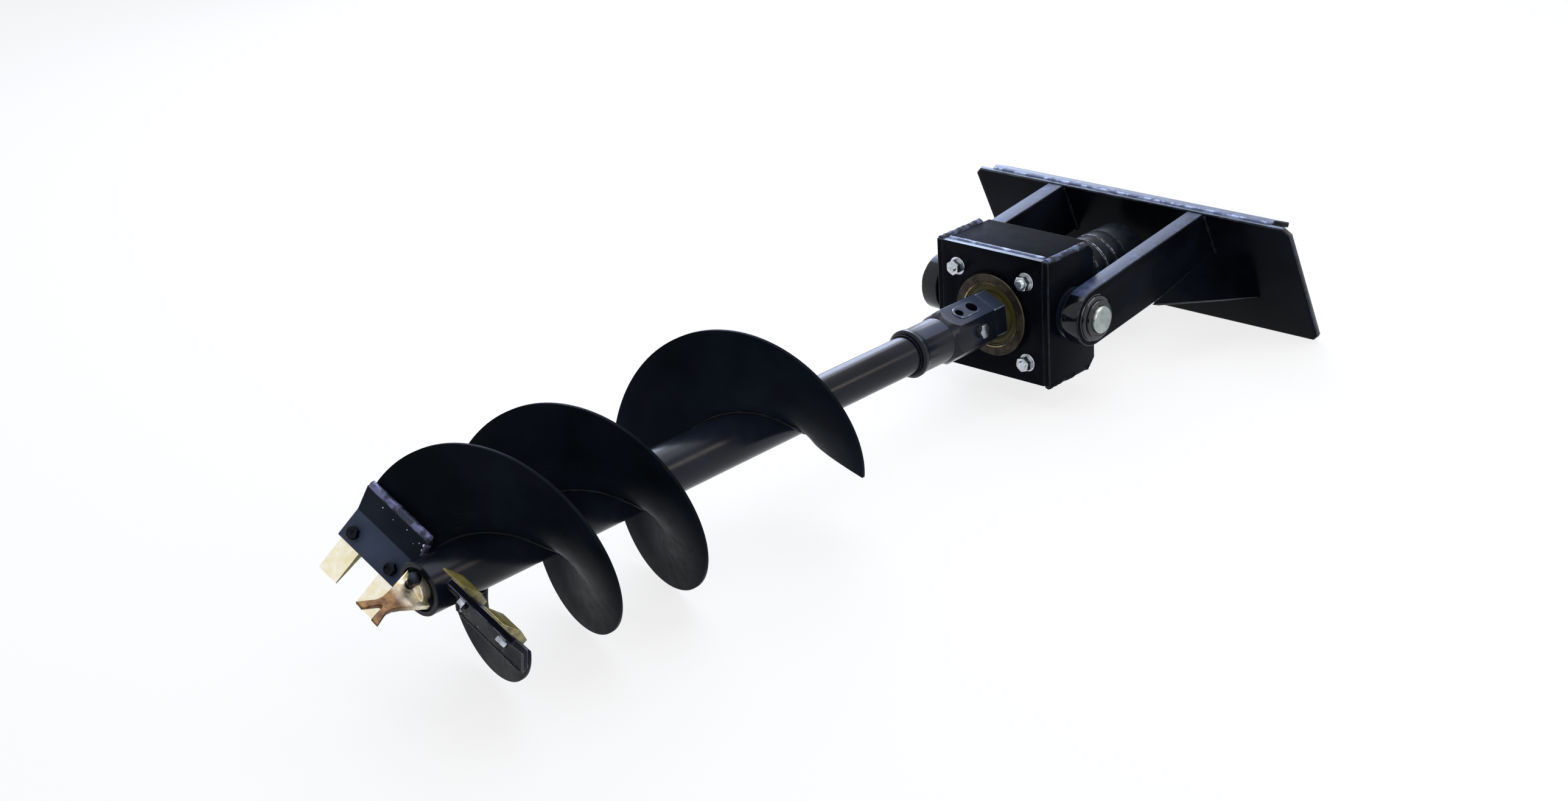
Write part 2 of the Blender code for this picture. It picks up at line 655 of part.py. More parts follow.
def build_housing():
    flange_front = -BOX_PLATE - FIT_GAP
    flange_back = flange_front - HOUSING_FLANGE_THICK
    half = case_radius
    corner = half - PLATE_CORNER
    outline = [(-half, -corner), (-corner, -half), (corner, -half), (half, -corner)]
    outline += [(half, corner), (corner, half), (-corner, half), (-half, corner)]
    housing = prism("bearing_housing", outline, flange_back, flange_front, machined_steel, drive_axis)
    middle = (flange_front + flange_back) / 2
    nose = rod("housing_nose_add", HOUSING_RADIUS, middle, HOUSING_PROUD, None, drive_axis, steps=FINE_STEPS)
    bevel(nose)
    boolean(housing, nose, "UNION")
    barrel_back = carrier_front + RUN_GAP
    barrel = rod("housing_barrel_add", HOUSING_BARREL, barrel_back, middle, None, drive_axis)
    boolean(housing, barrel, "UNION")
    seal_back = HOUSING_PROUD - SEAL_THICK
    rear_start = barrel_back + BEARING_WIDTH
    front_start = rear_start + BEARING_SPACING
    front_end = front_start + BEARING_WIDTH
    for name, radius, start, end in (
            ("seal", SEAL_RADIUS + FIT_GAP, seal_back, HOUSING_PROUD + CUT_REACH),
            ("lip", BEARING_SHOULDER, front_start - CUT_REACH, HOUSING_PROUD),
            ("front", BEARING_RADIUS + FIT_GAP, front_start, front_end),
            ("middle", BEARING_SHOULDER, rear_start - CUT_REACH, front_end - CUT_REACH),
            ("rear", BEARING_RADIUS + FIT_GAP, barrel_back - CUT_REACH, rear_start)):
        boolean(housing, rod("housing_bore_" + name, radius, start, end, None, drive_axis))
    for name, x, y in stud_places():
        boolean(housing, rod("flange_hole_" + name, STUD_RADIUS + FIT_GAP, flange_back - CUT_REACH,
                             flange_front + CUT_REACH, None, drive_axis, "z", (x, y), BOLT_STEPS))
    for name, start in (("front", front_start + FIT_GAP), ("rear", barrel_back)):
        end = start + BEARING_WIDTH - 2 * FIT_GAP
        inner = JOURNAL_RADIUS + FIT_GAP
        waist = BEARING_RADIUS - BEVEL_WIDTH
        revolve("output_bearing_" + name, [
            (waist, end), (BEARING_RADIUS, end - BEVEL_WIDTH), (BEARING_RADIUS, start + BEVEL_WIDTH),
            (waist, start), (inner, start), (inner, end)], gear_steel, drive_axis)
    lip = SEAL_LIP
    inner = JOURNAL_RADIUS + FIT_GAP
    back = seal_back + FIT_GAP
    outer = SEAL_RADIUS
    revolve("output_seal", [
        (outer, HOUSING_PROUD - lip), (outer, back), (inner, back), (inner, HOUSING_PROUD - lip),
        ((inner + outer) / 2, HOUSING_PROUD - 2 * lip)], seal_rubber, drive_axis)


def build_cover_and_motor():
    cover_front = case_back - FIT_GAP
    cover = rod("gear_case_cover", case_radius, cover_back, cover_front, cast_iron, drive_axis,
                steps=FINE_STEPS)
    bore = rod("cover_bore", COVER_BORE, cover_back - CUT_REACH, cover_front + CUT_REACH, None, drive_axis)
    boolean(cover, bore)
    bevel(cover)
    flange_front = cover_back - FIT_GAP
    flange_back = flange_front - MOTOR_FLANGE_THICK
    groove = MOTOR_GROOVE
    width = MOTOR_GROOVE_WIDTH
    shaft_space = SUN_SHAFT_RADIUS + RUN_GAP
    shaft_stop = cover_back - SUN_SHAFT_REACH - RUN_GAP
    body_back = motor_back
    neck = flange_back - MOTOR_BODY_LENGTH * MOTOR_NECK_SHARE
    spigot = COVER_BORE - RUN_GAP
    profile = [(spigot, flange_front + MOTOR_PILOT), (spigot, flange_front)]
    profile += [(MOTOR_FLANGE_RADIUS, flange_front), (MOTOR_FLANGE_RADIUS, flange_back)]
    profile += [(MOTOR_NECK_RADIUS, flange_back), (MOTOR_NECK_RADIUS, neck + groove), (MOTOR_RADIUS, neck)]
    step = (neck - body_back) / (MOTOR_BANDS + 1)
    for i in range(MOTOR_BANDS):
        place = neck - step * (i + 1)
        for radius, height in ((MOTOR_RADIUS, place + width / 2), (MOTOR_RADIUS - groove, place),
                               (MOTOR_RADIUS, place - width / 2)):
            profile.append((radius, height))
    profile += [(MOTOR_RADIUS, body_back), (0, body_back), (0, shaft_stop)]
    profile += [(shaft_space, shaft_stop), (shaft_space, flange_front + MOTOR_PILOT)]
    revolve("motor_body", profile, worn_black, drive_axis)
    cap_front = body_back - FIT_GAP
    cap_back = cap_front - MOTOR_CAP_LENGTH
    inner = MOTOR_RADIUS - groove
    revolve("motor_end_cap", [
        (0, cap_front), (inner, cap_front), (MOTOR_RADIUS, cap_front - groove),
        (MOTOR_RADIUS, cap_back + 2 * MOTOR_CHAMFER), (inner, cap_back + 2 * MOTOR_CHAMFER),
        (inner, cap_back + MOTOR_CHAMFER), (MOTOR_RADIUS - MOTOR_CHAMFER, cap_back), (0, cap_back)],
        worn_black, drive_axis, ring=False)
    middle = (cap_front + cap_back) / 2
    for side, sign in sides():
        holder = empty("Port_Turn_" + side, drive_axis, (0, 0, middle), (90, 0, sign * PORT_SPREAD_DEG))
        start = MOTOR_RADIUS + FIT_GAP
        end = start + 2 * PORT_HEIGHT
        port = prism("motor_port_" + side, hexagon(PORT_HEX), start, start + PORT_HEIGHT, bright_zinc, holder)
        neck = rod("port_neck_add_" + side, PORT_RADIUS, start + PORT_HEIGHT / 2, end, None, holder,
                   steps=BOLT_STEPS)
        cap = rod("port_cap_add_" + side, PORT_CAP_RADIUS, end - PORT_CAP_LENGTH, end + FIT_GAP, None, holder,
                  steps=2 * BOLT_STEPS)
        for added in (neck, cap):
            boolean(port, added, "UNION")


def build_front_fasteners():
    back = -BOX_PLATE - FIT_GAP - HOUSING_FLANGE_THICK - FIT_GAP
    washer_end = FIT_GAP + WASHER_THICK
    for name, x, y in stud_places():
        stud = rod("front_stud_" + name, STUD_RADIUS, back - NUT_THICK / 2, STUD_PROUD, bright_zinc, drive_axis,
                   "z", (x, y), BOLT_STEPS)
        washer = rod("stud_washer_add_" + name, WASHER_RADIUS, FIT_GAP, washer_end + FIT_GAP, None, drive_axis,
                     "z", (x, y), 2 * BOLT_STEPS)
        nut = prism("stud_nut_add_" + name, hexagon(NUT_HEX, (x, y), x), washer_end, washer_end + NUT_THICK,
                    None, drive_axis)
        head = prism("stud_head_add_" + name, hexagon(NUT_HEX, (x, y)), back - NUT_THICK, back, None,
                     drive_axis)
        for added in (washer, nut, head):
            boolean(stud, added, "UNION")


def build_hub():
    hex_end = HUB_START + HUB_HEX_LENGTH
    neck_end = hex_end + HUB_NECK_LENGTH
    ring_end = neck_end + HUB_RING_LENGTH
    spigot = TUBE_RADIUS - TUBE_WALL - FIT_GAP
    chamfer = HUB_RING_CHAMFER
    hub = revolve("output_hub", [
        (0, ring_end + HUB_SPIGOT), (spigot, ring_end + HUB_SPIGOT), (spigot, ring_end),
        (HUB_RING_RADIUS - chamfer, ring_end), (HUB_RING_RADIUS, ring_end - chamfer),
        (HUB_RING_RADIUS, neck_end + chamfer), (HUB_NECK_RADIUS, neck_end),
        (HUB_NECK_RADIUS, hex_end - HUB_RING_LENGTH), (0, hex_end - HUB_RING_LENGTH)],
        black_paint, auger_axis, ring=False)
    turn = radians(HUB_TURN_DEG + 30)
    step = HUB_START + HUB_STEP_LENGTH
    rear_hex = HUB_HEX - 2 * HUB_STEP_DEPTH
    collar = prism("hub_collar_add", hexagon(HUB_HEX, turn=turn), step, hex_end, None, auger_axis)
    bevel(collar, 2 * BEVEL_WIDTH)
    rear = prism("hub_rear_add", hexagon(rear_hex, turn=turn), HUB_START, step + FIT_GAP, None, auger_axis)
    boolean(hub, collar, "UNION")
    boolean(hub, rear, "UNION")
    flat = empty("Hub_Flat", auger_axis, turn_deg=(0, 0, HUB_TURN_DEG))
    half = HUB_BOSS_WIDTH / 2
    middle = (HUB_HOLE_FRONT + HUB_HOLE_BACK) / 2
    straight = HUB_BOSS_LENGTH / 2 - half
    oval = []
    for end, first in ((1, 0), (-1, 180)):
        for i in range(HUB_BOSS_STEPS + 1):
            angle = radians(first) + pi * i / HUB_BOSS_STEPS
            oval.append((half * cos(angle), middle + end * straight + half * sin(angle)))
    top = HUB_HEX / 2 + HUB_BOSS_HEIGHT
    boss = prism("hub_boss_add", oval, HUB_HEX / 2 - HUB_BOSS_HEIGHT, top, None, flat, "x")
    boolean(hub, boss, "UNION")
    bore = prism("hub_bore", hexagon(SHAFT_HEX + 2 * FIT_GAP, turn=turn), 0,
                 HUB_START + SHAFT_LENGTH + RUN_GAP, None, auger_axis)
    boolean(hub, bore)
    for name, radius, place in (("small", HUB_HOLE_SMALL, HUB_HOLE_FRONT),
                                ("large", HUB_HOLE_LARGE, HUB_HOLE_BACK)):
        hole = rod("hub_hole_" + name, radius, SHAFT_HEX / 4, top + CUT_REACH, None, flat, "x", (0, place),
                   BOLT_STEPS)
        boolean(hub, hole)
    hub_bolt_hole(hub, "hub")
    holder = empty("Hub_Bolt_Axis", auger_axis, (0, 0, HUB_BOLT_PLACE), (0, 0, HUB_TURN_DEG - 60))
    start = HUB_HEX / 2 + FIT_GAP
    end = start + BOLT_HEAD_THICK
    bolt = rod("hub_cross_bolt", HUB_BOLT_RADIUS, -end - BEVEL_WIDTH, (start + end) / 2, bright_zinc, holder,
               "x", steps=BOLT_STEPS)
    head = prism("hub_bolt_head_add", hexagon(BOLT_HEAD_HEX), start, end, None, holder, "x")
    nut = prism("hub_bolt_nut_add", hexagon(BOLT_HEAD_HEX), -end, -start, None, holder, "x")
    boolean(bolt, head, "UNION")
    boolean(bolt, nut, "UNION")
    return ring_end


def build_tubes(hub_end):
    start = hub_end + FIT_GAP
    end = core_start + SLEEVE_OVERLAP
    inner = TUBE_RADIUS - TUBE_WALL
    revolve("upper_tube", [(TUBE_RADIUS, end), (TUBE_RADIUS, start), (inner, start), (inner, end)],
            black_paint, auger_axis)
    bore = TUBE_RADIUS + FIT_GAP
    core = [(CORE_RADIUS, CORE_END), (CORE_RADIUS, core_start), (bore, core_start), (bore, CORE_END)]
    revolve("flighted_tube", core, black_paint, auger_axis)
    plate_end = CORE_END - END_RECESS
    plate_start = plate_end - END_PLATE_THICK
    radius = bore - FIT_GAP
    hole = PILOT_SHANK_RADIUS + FIT_GAP
    deep = plate_start - PILOT_SHANK_DEPTH
    socket = [(radius, plate_end), (radius, deep), (hole, deep), (hole, plate_end)]
    revolve("pilot_socket", socket, worn_black, auger_axis)


def flight_place(angle_deg):
    return flight_zero + FLIGHT_PITCH * angle_deg / 360


def build_flight(name, start_deg, end_deg, turn_deg, bar):
    holder = empty("Flight_Turn_" + name, auger_axis, turn_deg=(0, 0, turn_deg))
    shape = bmesh.new()
    inner = (CORE_RADIUS + FIT_GAP) / cos(radians(FLIGHT_STEP_DEG) / 2)
    place = flight_place(start_deg)
    ends = [shape.verts.new((radius, 0, 0)) for radius in (inner, FLIGHT_RADIUS)]
    shape.edges.new(ends)
    flight = piece(name, shape, black_paint, holder)
    placed(flight, (0, 0, place), (0, 0, radians(start_deg)))
    sweep = end_deg - start_deg
    screw = flight.modifiers.new("Helix", "SCREW")
    screw.axis = "Z"
    screw.angle = radians(sweep)
    screw.screw_offset = FLIGHT_PITCH * sweep / 360
    screw.steps = ceil(sweep / FLIGHT_STEP_DEG)
    screw.render_steps = screw.steps
    screw.use_smooth_shade = True
    plate = flight.modifiers.new("Plate", "SOLIDIFY")
    plate.thickness = FLIGHT_THICK
    plate.offset = 0
    root_angle = radians(start_deg - FLIGHT_START_DEG + FLIGHT_ROOT_DEG)
    tip_angle = radians(start_deg - FLIGHT_START_DEG + FLIGHT_TIP_DEG)
    root = Vector((CORE_RADIUS * cos(root_angle), CORE_RADIUS * sin(root_angle)))
    tip = Vector((FLIGHT_RADIUS * cos(tip_angle), FLIGHT_RADIUS * sin(tip_angle)))
    way = (tip - root).normalized()
    away = Vector((way.y, -way.x)) * FLIGHT_RADIUS
    near = root - way * CORE_RADIUS
    far = tip + way * CORE_RADIUS
    outline = [tuple(near), tuple(near + away), tuple(far + away), tuple(far)]
    low = place - FLIGHT_PITCH * FLIGHT_CUT_BACK_SHARE
    high = place + FLIGHT_PITCH * FLIGHT_CUT_AHEAD_SHARE
    boolean(flight, prism("start_cut_" + name, outline, low, high, None, holder))
    boolean(flight, bar)


def bar_frame(name, turn_deg):
    # Local x runs out along the bar, y the way it turns, z towards the tip
    return empty("Bar_Turn_" + name, auger_axis, turn_deg=(0, 0, turn_deg))


def bar_angles():
    first = atan2(BAR_BEND_PLACE - BAR_BACK_PLACE, BAR_BEND + BAR_BACK)
    second = atan2(BAR_TIP_PLACE - BAR_BEND_PLACE, BAR_TIP - BAR_BEND)
    return first, second


def build_bar(name, turn_deg):
    holder = bar_frame(name, turn_deg)
    first, second = bar_angles()
    mitre = (first + second) / 2
    thick = BAR_THICK
    grow = thick / cos((second - first) / 2)
    back = (-BAR_BACK, BAR_BACK_PLACE)
    bend = (BAR_BEND, BAR_BEND_PLACE)
    tip = (BAR_TIP, BAR_TIP_PLACE)
    upper_tip = (tip[0] + thick * sin(second), tip[1] - thick * cos(second))
    upper_bend = (bend[0] + grow * sin(mitre), bend[1] - grow * cos(mitre))
    upper_back = (back[0] + thick * sin(first), back[1] - thick * cos(first))
    outline = [back, upper_back, upper_bend, upper_tip, tip, bend]
    start = CORE_RADIUS + 2 * FIT_GAP
    bar = prism("cutter_bar_" + name, outline, start, BAR_REACH, black_paint, holder, "x")
    gap = FIT_GAP
    reach = 2 * BAR_BACK
    raised_back = (upper_back[0] + gap * sin(first) - reach * cos(first),
                   upper_back[1] - gap * cos(first) - reach * sin(first))
    raised_bend = (upper_bend[0] + gap * sin(mitre), upper_bend[1] - gap * cos(mitre))
    raised_tip = (upper_tip[0] + gap * sin(second) + reach * cos(second),
                  upper_tip[1] - gap * cos(second) + reach * sin(second))
    deep = FLIGHT_PITCH / 2
    region = [raised_back, raised_bend, raised_tip, (raised_tip[0], raised_tip[1] + deep),
              (raised_back[0], raised_tip[1] + deep)]
    clearance = prism("flight_end_cut_" + name, region, 0, BAR_REACH + 2 * CUT_REACH, None, holder, "x")
    for place_name, place in (("inner", TOOTH_INNER_PLACE), ("outer", TOOTH_OUTER_PLACE)):
        build_tooth(bar, name + "_" + place_name, holder, place, upper_tip, second)
    bevel(bar)
    return clearance


def build_tooth(bar, name, holder, place, upper_tip, slope):
    # A frame on the bar's upper face at its tip: x along the bar, y down the slope, z off the face
    turn = Matrix((
        (-1, 0, 0),
        (0, cos(slope), sin(slope)),
        (0, sin(slope), -cos(slope)))).to_euler()
    seat = empty("Tooth_Seat_" + name, holder, (place, upper_tip[0], upper_tip[1]))
    seat.rotation_euler = turn
    tail = TOOTH_OUT - TOOTH_LENGTH
    half = TOOTH_WIDTH / 2
    narrow = half * TOOTH_TAPER_SHARE
    thin = TOOTH_THICK * TOOTH_TAIL_SHARE
    stations = ((tail, narrow, thin), (0, half, TOOTH_THICK), (TOOTH_OUT, half, TOOTH_EDGE))
    shape = bmesh.new()
    loops = []
    for y, side, thick in stations:
        corners = ((-side, FIT_GAP), (side, FIT_GAP), (side, FIT_GAP + thick), (-side, FIT_GAP + thick))
        loops.append([shape.verts.new((x, y, z)) for x, z in corners])
    shape.faces.new(loops[0])
    shape.faces.new(list(reversed(loops[-1])))
    for one, two in zip(loops, loops[1:]):
        for i in range(4):
            j = (i + 1) % 4
            shape.faces.new((one[j], one[i], two[i], two[j]))
    bmesh.ops.recalc_face_normals(shape, faces=shape.faces)
    tooth = piece("cutter_tooth_" + name, shape, yellow_zinc, seat)
    bolt_y = -TOOTH_BOLT_INSET
    under = -BAR_THICK - FIT_GAP
    thread_end = FIT_GAP + TOOTH_THICK * TOOTH_THREAD_SHARE
    bolt = rod("tooth_bolt_" + name, TOOTH_BOLT_RADIUS, under - TOOTH_BOLT_HEAD / 2, thread_end, bright_zinc,
               seat, "z", (0, bolt_y), BOLT_STEPS)
    head = prism("tooth_head_add_" + name, hexagon(TOOTH_BOLT_HEX, (0, bolt_y)), under - TOOTH_BOLT_HEAD, under,
                 None, seat)
    boolean(bolt, head, "UNION")
    hole = rod("tooth_hole_" + name, TOOTH_BOLT_RADIUS + FIT_GAP, -BAR_THICK - CUT_REACH, thread_end + FIT_GAP,
               None, seat, "z", (0, bolt_y), BOLT_STEPS)
    boolean(tooth, hole)
    boolean(bar, hole)


def build_pilot():
    holder = empty("Pilot_Turn", auger_axis, turn_deg=(0, 0, PILOT_TURN_DEG))
    shank_start = CORE_END - END_RECESS - PILOT_SHANK_DEPTH
    pilot = rod("fishtail_pilot", PILOT_SHANK_RADIUS, shank_start, CORE_END + CUT_REACH, yellow_zinc, holder)
    shape = bmesh.new()
    stations = []
    for along, outer_share, inner_share, thick_share in PILOT_SHARES:
        z = CORE_END + FIT_GAP + PILOT_LENGTH * along
        outer = PILOT_HALF_WIDTH * outer_share
        inner = PILOT_HALF_WIDTH * inner_share
        half = PILOT_THICK * thick_share / 2
        twist = radians(PILOT_TWIST_DEG) * along
        prongs = []
        for way in (1, -1):
            loop = []
            for x, y in ((inner, -half), (outer, -half), (outer, half), (inner, half)):
                across = way * (x * cos(twist) - y * sin(twist))
                loop.append(shape.verts.new((across, way * (x * sin(twist) + y * cos(twist)), z)))
            prongs.append(loop)
        stations.append((inner > 0, prongs[0], prongs[1]))
    for one, two in zip(stations, stations[1:]):
        for first, second in ((one[1], two[1]), (one[2], two[2])):
            for i in range(4 if two[0] else 3):
                j = (i + 1) % 4
                shape.faces.new((first[i], first[j], second[j], second[i]))
    right, left = stations[0][1:]
    shape.faces.new((right[0], right[1], right[2], right[3], left[1], left[2]))
    for loop in stations[-1][1:]:
        shape.faces.new(loop)
    bmesh.ops.remove_doubles(shape, verts=shape.verts, dist=MERGE_GAP)
    bmesh.ops.recalc_face_normals(shape, faces=shape.faces)
    boolean(pilot, piece("pilot_blade_add", shape, None, holder), "UNION")
    place = (CORE_END + PILOT_BOLT_PLACE, -PILOT_BOLT_SIDE)
    half = PILOT_SHANK_RADIUS + FIT_GAP
    deep = half + PILOT_BOLT_HEAD
    hole = rod("pilot_bolt_hole", PILOT_BOLT_RADIUS + FIT_GAP, -deep, deep, None, holder, "y", place,
               BOLT_STEPS)
    boolean(pilot, hole)
    bolt = rod("pilot_bolt", PILOT_BOLT_RADIUS, -deep, deep, bright_zinc, holder, "y", place, BOLT_STEPS)
    for name, ends in (("head", (half, deep)), ("nut", (-deep, -half))):
        head = hexagon(PILOT_BOLT_HEX, place)
        added = prism("pilot_bolt_add_" + name, head, ends[0], ends[1], None, holder, "y")
        boolean(bolt, added, "UNION")


def settle():
    # Moves the root so that the part stands on the ground with the middle of its footprint at the origin
    bpy.context.view_layer.update()
    graph = bpy.context.evaluated_depsgraph_get()
    low = Vector((float("inf"),) * 3)
    high = -low
    for obj in parts.objects:
        if obj.type != "MESH":
            continue
        shown = obj.evaluated_get(graph)
        mesh = shown.to_mesh()
        for vertex in mesh.vertices:
            point = shown.matrix_world @ vertex.co
            low = Vector(map(min, low, point))
            high = Vector(map(max, high, point))
        shown.to_mesh_clear()
    root.location = (-(low.x + high.x) / 2, -(low.y + high.y) / 2, -low.z)


build_mount_plate()
for side, sign in sides():
    build_arm(side, sign)
    build_arm_rings(side, sign)
    build_gusset(side, sign)
    build_pins(side, sign)
build_box()
build_gearing()
build_carrier()
build_housing()
build_cover_and_motor()
build_front_fasteners()
build_tubes(build_hub())
bar_cuts = [build_bar("one", BAR_TURN_DEG), build_bar("two", BAR_TURN_DEG + 180)]
head_deg = BAR_TURN_DEG + FLIGHT_TURNS_TO_BAR_DEG + FLIGHT_PAST_BAR_DEG
build_flight("main_flight", FLIGHT_START_DEG, head_deg, 0, bar_cuts[0])
build_flight("second_flight", SECOND_START_DEG, head_deg, 180, bar_cuts[1])
build_pilot()
settle()
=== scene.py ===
import bpy
import json
from math import atan2, ceil, cos, hypot, pi, radians, sin
from mathutils import Matrix, Vector
from mathutils.noise import noise


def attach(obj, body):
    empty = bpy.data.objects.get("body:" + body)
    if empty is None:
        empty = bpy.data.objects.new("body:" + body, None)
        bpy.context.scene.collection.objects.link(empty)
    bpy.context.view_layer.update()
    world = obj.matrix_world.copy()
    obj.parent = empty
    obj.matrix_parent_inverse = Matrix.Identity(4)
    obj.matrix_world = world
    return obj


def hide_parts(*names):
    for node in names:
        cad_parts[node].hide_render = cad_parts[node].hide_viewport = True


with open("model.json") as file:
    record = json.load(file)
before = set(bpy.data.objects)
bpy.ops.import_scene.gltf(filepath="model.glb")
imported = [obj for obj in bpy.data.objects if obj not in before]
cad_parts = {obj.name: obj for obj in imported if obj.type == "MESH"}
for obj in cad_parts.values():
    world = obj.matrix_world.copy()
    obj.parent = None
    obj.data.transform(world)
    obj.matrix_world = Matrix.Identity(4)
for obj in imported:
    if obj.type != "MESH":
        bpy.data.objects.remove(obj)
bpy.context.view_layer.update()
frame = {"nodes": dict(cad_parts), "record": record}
print("frame loaded:", len(frame["nodes"]), "nodes")

record = frame["record"]
slotOf = {row["node"]: row["material_slot"] for row in record["subparts"]}
bodyOf = {node: body for body, nodes in record["behaviour"]["bodies"].items() for node in nodes}


# Selecting, shaping and finishing

def deselectAll():
    bpy.ops.object.select_all(action="DESELECT")


def makeActive(obj):
    deselectAll()
    obj.select_set(True)
    bpy.context.view_layer.objects.active = obj


def named(name):
    # The object that an operator has just made
    obj = bpy.context.object
    obj.name = name
    obj.data.name = name
    return obj


def linked(name, data):
    obj = bpy.data.objects.new(name, data)
    bpy.context.scene.collection.objects.link(obj)
    return obj


def meshObject(name, points, edges=(), faces=()):
    mesh = bpy.data.meshes.new(name)
    mesh.from_pydata(points, edges, faces)
    return linked(name, mesh)


def baked(obj):
    # Its place goes into its mesh
    makeActive(obj)
    bpy.ops.object.transform_apply(location=True, rotation=True, scale=True)
    return obj


def place(obj, matrix):
    obj.matrix_world = matrix @ obj.matrix_world
    return baked(obj)


def movedTo(obj, centre):
    obj.location = (*centre, 0)
    return baked(obj)


def rotation(degrees, axis="Z"):
    return Matrix.Rotation(radians(degrees), 4, axis)


def shift(x, y, z):
    return Matrix.Translation((x, y, z))


def modify(obj, kind, **settings):
    makeActive(obj)
    modifier = obj.modifiers.new(kind.title(), kind)
    for key, value in settings.items():
        setattr(modifier, key, value)
    bpy.ops.object.modifier_apply(modifier=modifier.name)
    return obj


def cut(obj, cutter, operation="DIFFERENCE"):
    modify(obj, "BOOLEAN", object=cutter, operation=operation, solver="EXACT")
    bpy.data.objects.remove(cutter)
    return obj


def softEdges(obj, width, segments=2, angle=35, wornSlot=1):
    # The bevel's own faces take the second material slot, so that edges can wear
    return modify(obj, "BEVEL", width=width, segments=segments, limit_method="ANGLE", angle_limit=radians(angle),
                  material=wornSlot, harden_normals=False, use_clamp_overlap=True)


def smooth(obj, angle=30):
    makeActive(obj)
    bpy.ops.object.shade_smooth_by_angle(angle=radians(angle))
    return obj


def edited(obj, *steps):
    # Each step is an operator with its settings, run on the whole mesh
    makeActive(obj)
    bpy.ops.object.mode_set(mode="EDIT")
    bpy.ops.mesh.select_all(action="SELECT")
    for operator, settings in steps:
        operator(**settings)
    bpy.ops.object.mode_set(mode="OBJECT")
    return obj


def cleanMesh(obj, distance=0.00002):
    return edited(obj, (bpy.ops.mesh.remove_doubles, {"threshold": distance}),
                  (bpy.ops.mesh.normals_make_consistent, {"inside": False}))


def paint(obj, *materials):
    # The faces keep their slot numbers
    slots = [polygon.material_index for polygon in obj.data.polygons]
    obj.data.materials.clear()
    for material in materials:
        obj.data.materials.append(material)
    for polygon, slot in zip(obj.data.polygons, slots):
        polygon.material_index = min(slot, len(materials) - 1)
    return obj


def recolor(obj, slot, chosen):
    # The faces in the first slot for which chosen is true take another
    for polygon in obj.data.polygons:
        if polygon.material_index == 0 and chosen(polygon):
            polygon.material_index = slot
    return obj


def finish(obj, node, standsFor=True):
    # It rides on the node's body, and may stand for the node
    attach(obj, bodyOf[node])
    if standsFor:
        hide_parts(node)
    return obj


def complete(obj, node, angle, *materials, standsFor=True):
    return finish(smooth(paint(obj, *materials), angle), node, standsFor)


def block(name, low, high):
    low, high = Vector(low), Vector(high)
    deselectAll()
    bpy.ops.mesh.primitive_cube_add(size=1, location=(low + high) / 2)
    obj = named(name)
    obj.scale = high - low
    return baked(obj)


def rod(name, radius, start, end, centre=(0, 0), steps=48, turn=0.0):
    deselectAll()
    bpy.ops.mesh.primitive_cylinder_add(vertices=steps, radius=radius, depth=end - start,
                                        location=(*centre, (start + end) / 2), rotation=(0, 0, turn))
    return baked(named(name))


def turned(name, profile, steps=96):
    # A closed outline of (radius, place) pairs, turned round the z axis by a screw without rise
    count = len(profile)
    obj = meshObject(name, [(r, 0, z) for r, z in profile], [(i, (i + 1) % count) for i in range(count)])
    modify(obj, "SCREW", axis="Z", angle=2 * pi, screw_offset=0, steps=steps, render_steps=steps)
    return cleanMesh(obj, 0.000005)


def prism(name, outline, start, end):
    # An outline of (y, z) points, drawn out along x
    obj = meshObject(name, [(start, y, z) for y, z in outline], faces=[list(range(len(outline)))])
    edited(obj, (bpy.ops.mesh.extrude_region_move, {"TRANSFORM_OT_translate": {"value": (end - start, 0, 0)}}))
    return cleanMesh(obj)


def dressed(nodeName, name, materials, edgeWidth, segments=2, across=None, sharpDeg=35):
    # The solid's own form merged into plain faces: its edges are softened and take the second material.
    # The narrow faces round a plate, where it was flame cut, take the third on top, a painted highlight, and the fourth
    # elsewhere
    source = frame["nodes"][nodeName]
    obj = linked(name, source.data.copy())
    obj.matrix_world = source.matrix_world
    edited(baked(obj), (bpy.ops.mesh.remove_doubles, {"threshold": 0.00001}),
           (bpy.ops.mesh.dissolve_limited, {"angle_limit": radians(0.6)}))
    paint(obj, *materials)
    for polygon in obj.data.polygons:
        polygon.material_index = 0
    if across is not None:
        # edge faces that look up take the third material, a painted highlight
        recolor(obj, 2, lambda face: abs(face.normal.dot(across)) < 0.4 and face.normal.z > 0.88)
        recolor(obj, 3, lambda face: abs(face.normal.dot(across)) < 0.4)
    return smooth(softEdges(obj, edgeWidth, segments, sharpDeg))


def joined(name, pieces):
    deselectAll()
    for obj in pieces:
        obj.select_set(True)
    bpy.context.view_layer.objects.active = pieces[0]
    bpy.ops.object.join()
    return named(name)


# Places: the drive's axis, the mount frame and its coupler plate

driveFrame = {"origin": (0, 0.451828, 0.167031), "tiltDeg": -1.6}
mountFrame = {"pivot": (0, 0.519664, 0.17454), "tiltDeg": 5.62}
plateFrame = {"origin": (0, 0.8761, 0.264177), "leanDeg": 23.47}


def driveMatrix():
    # x to the right, y up across the axis, z along the axis towards the tip
    tilt = radians(driveFrame["tiltDeg"])
    up = Vector((0, -sin(tilt), cos(tilt)))
    along = Vector((0, -cos(tilt), -sin(tilt)))
    turn = Matrix((Vector((1, 0, 0)), up, along)).transposed().to_4x4()
    return Matrix.Translation(driveFrame["origin"]) @ turn


def tilted(origin, degreesUp):
    return Matrix.Translation(origin) @ rotation(degreesUp, "X")


drive = driveMatrix()
mount = tilted(mountFrame["pivot"], mountFrame["tiltDeg"])
pinFrame = tilted(mountFrame["pivot"], driveFrame["tiltDeg"])
plate = tilted(plateFrame["origin"], plateFrame["leanDeg"])


# Materials

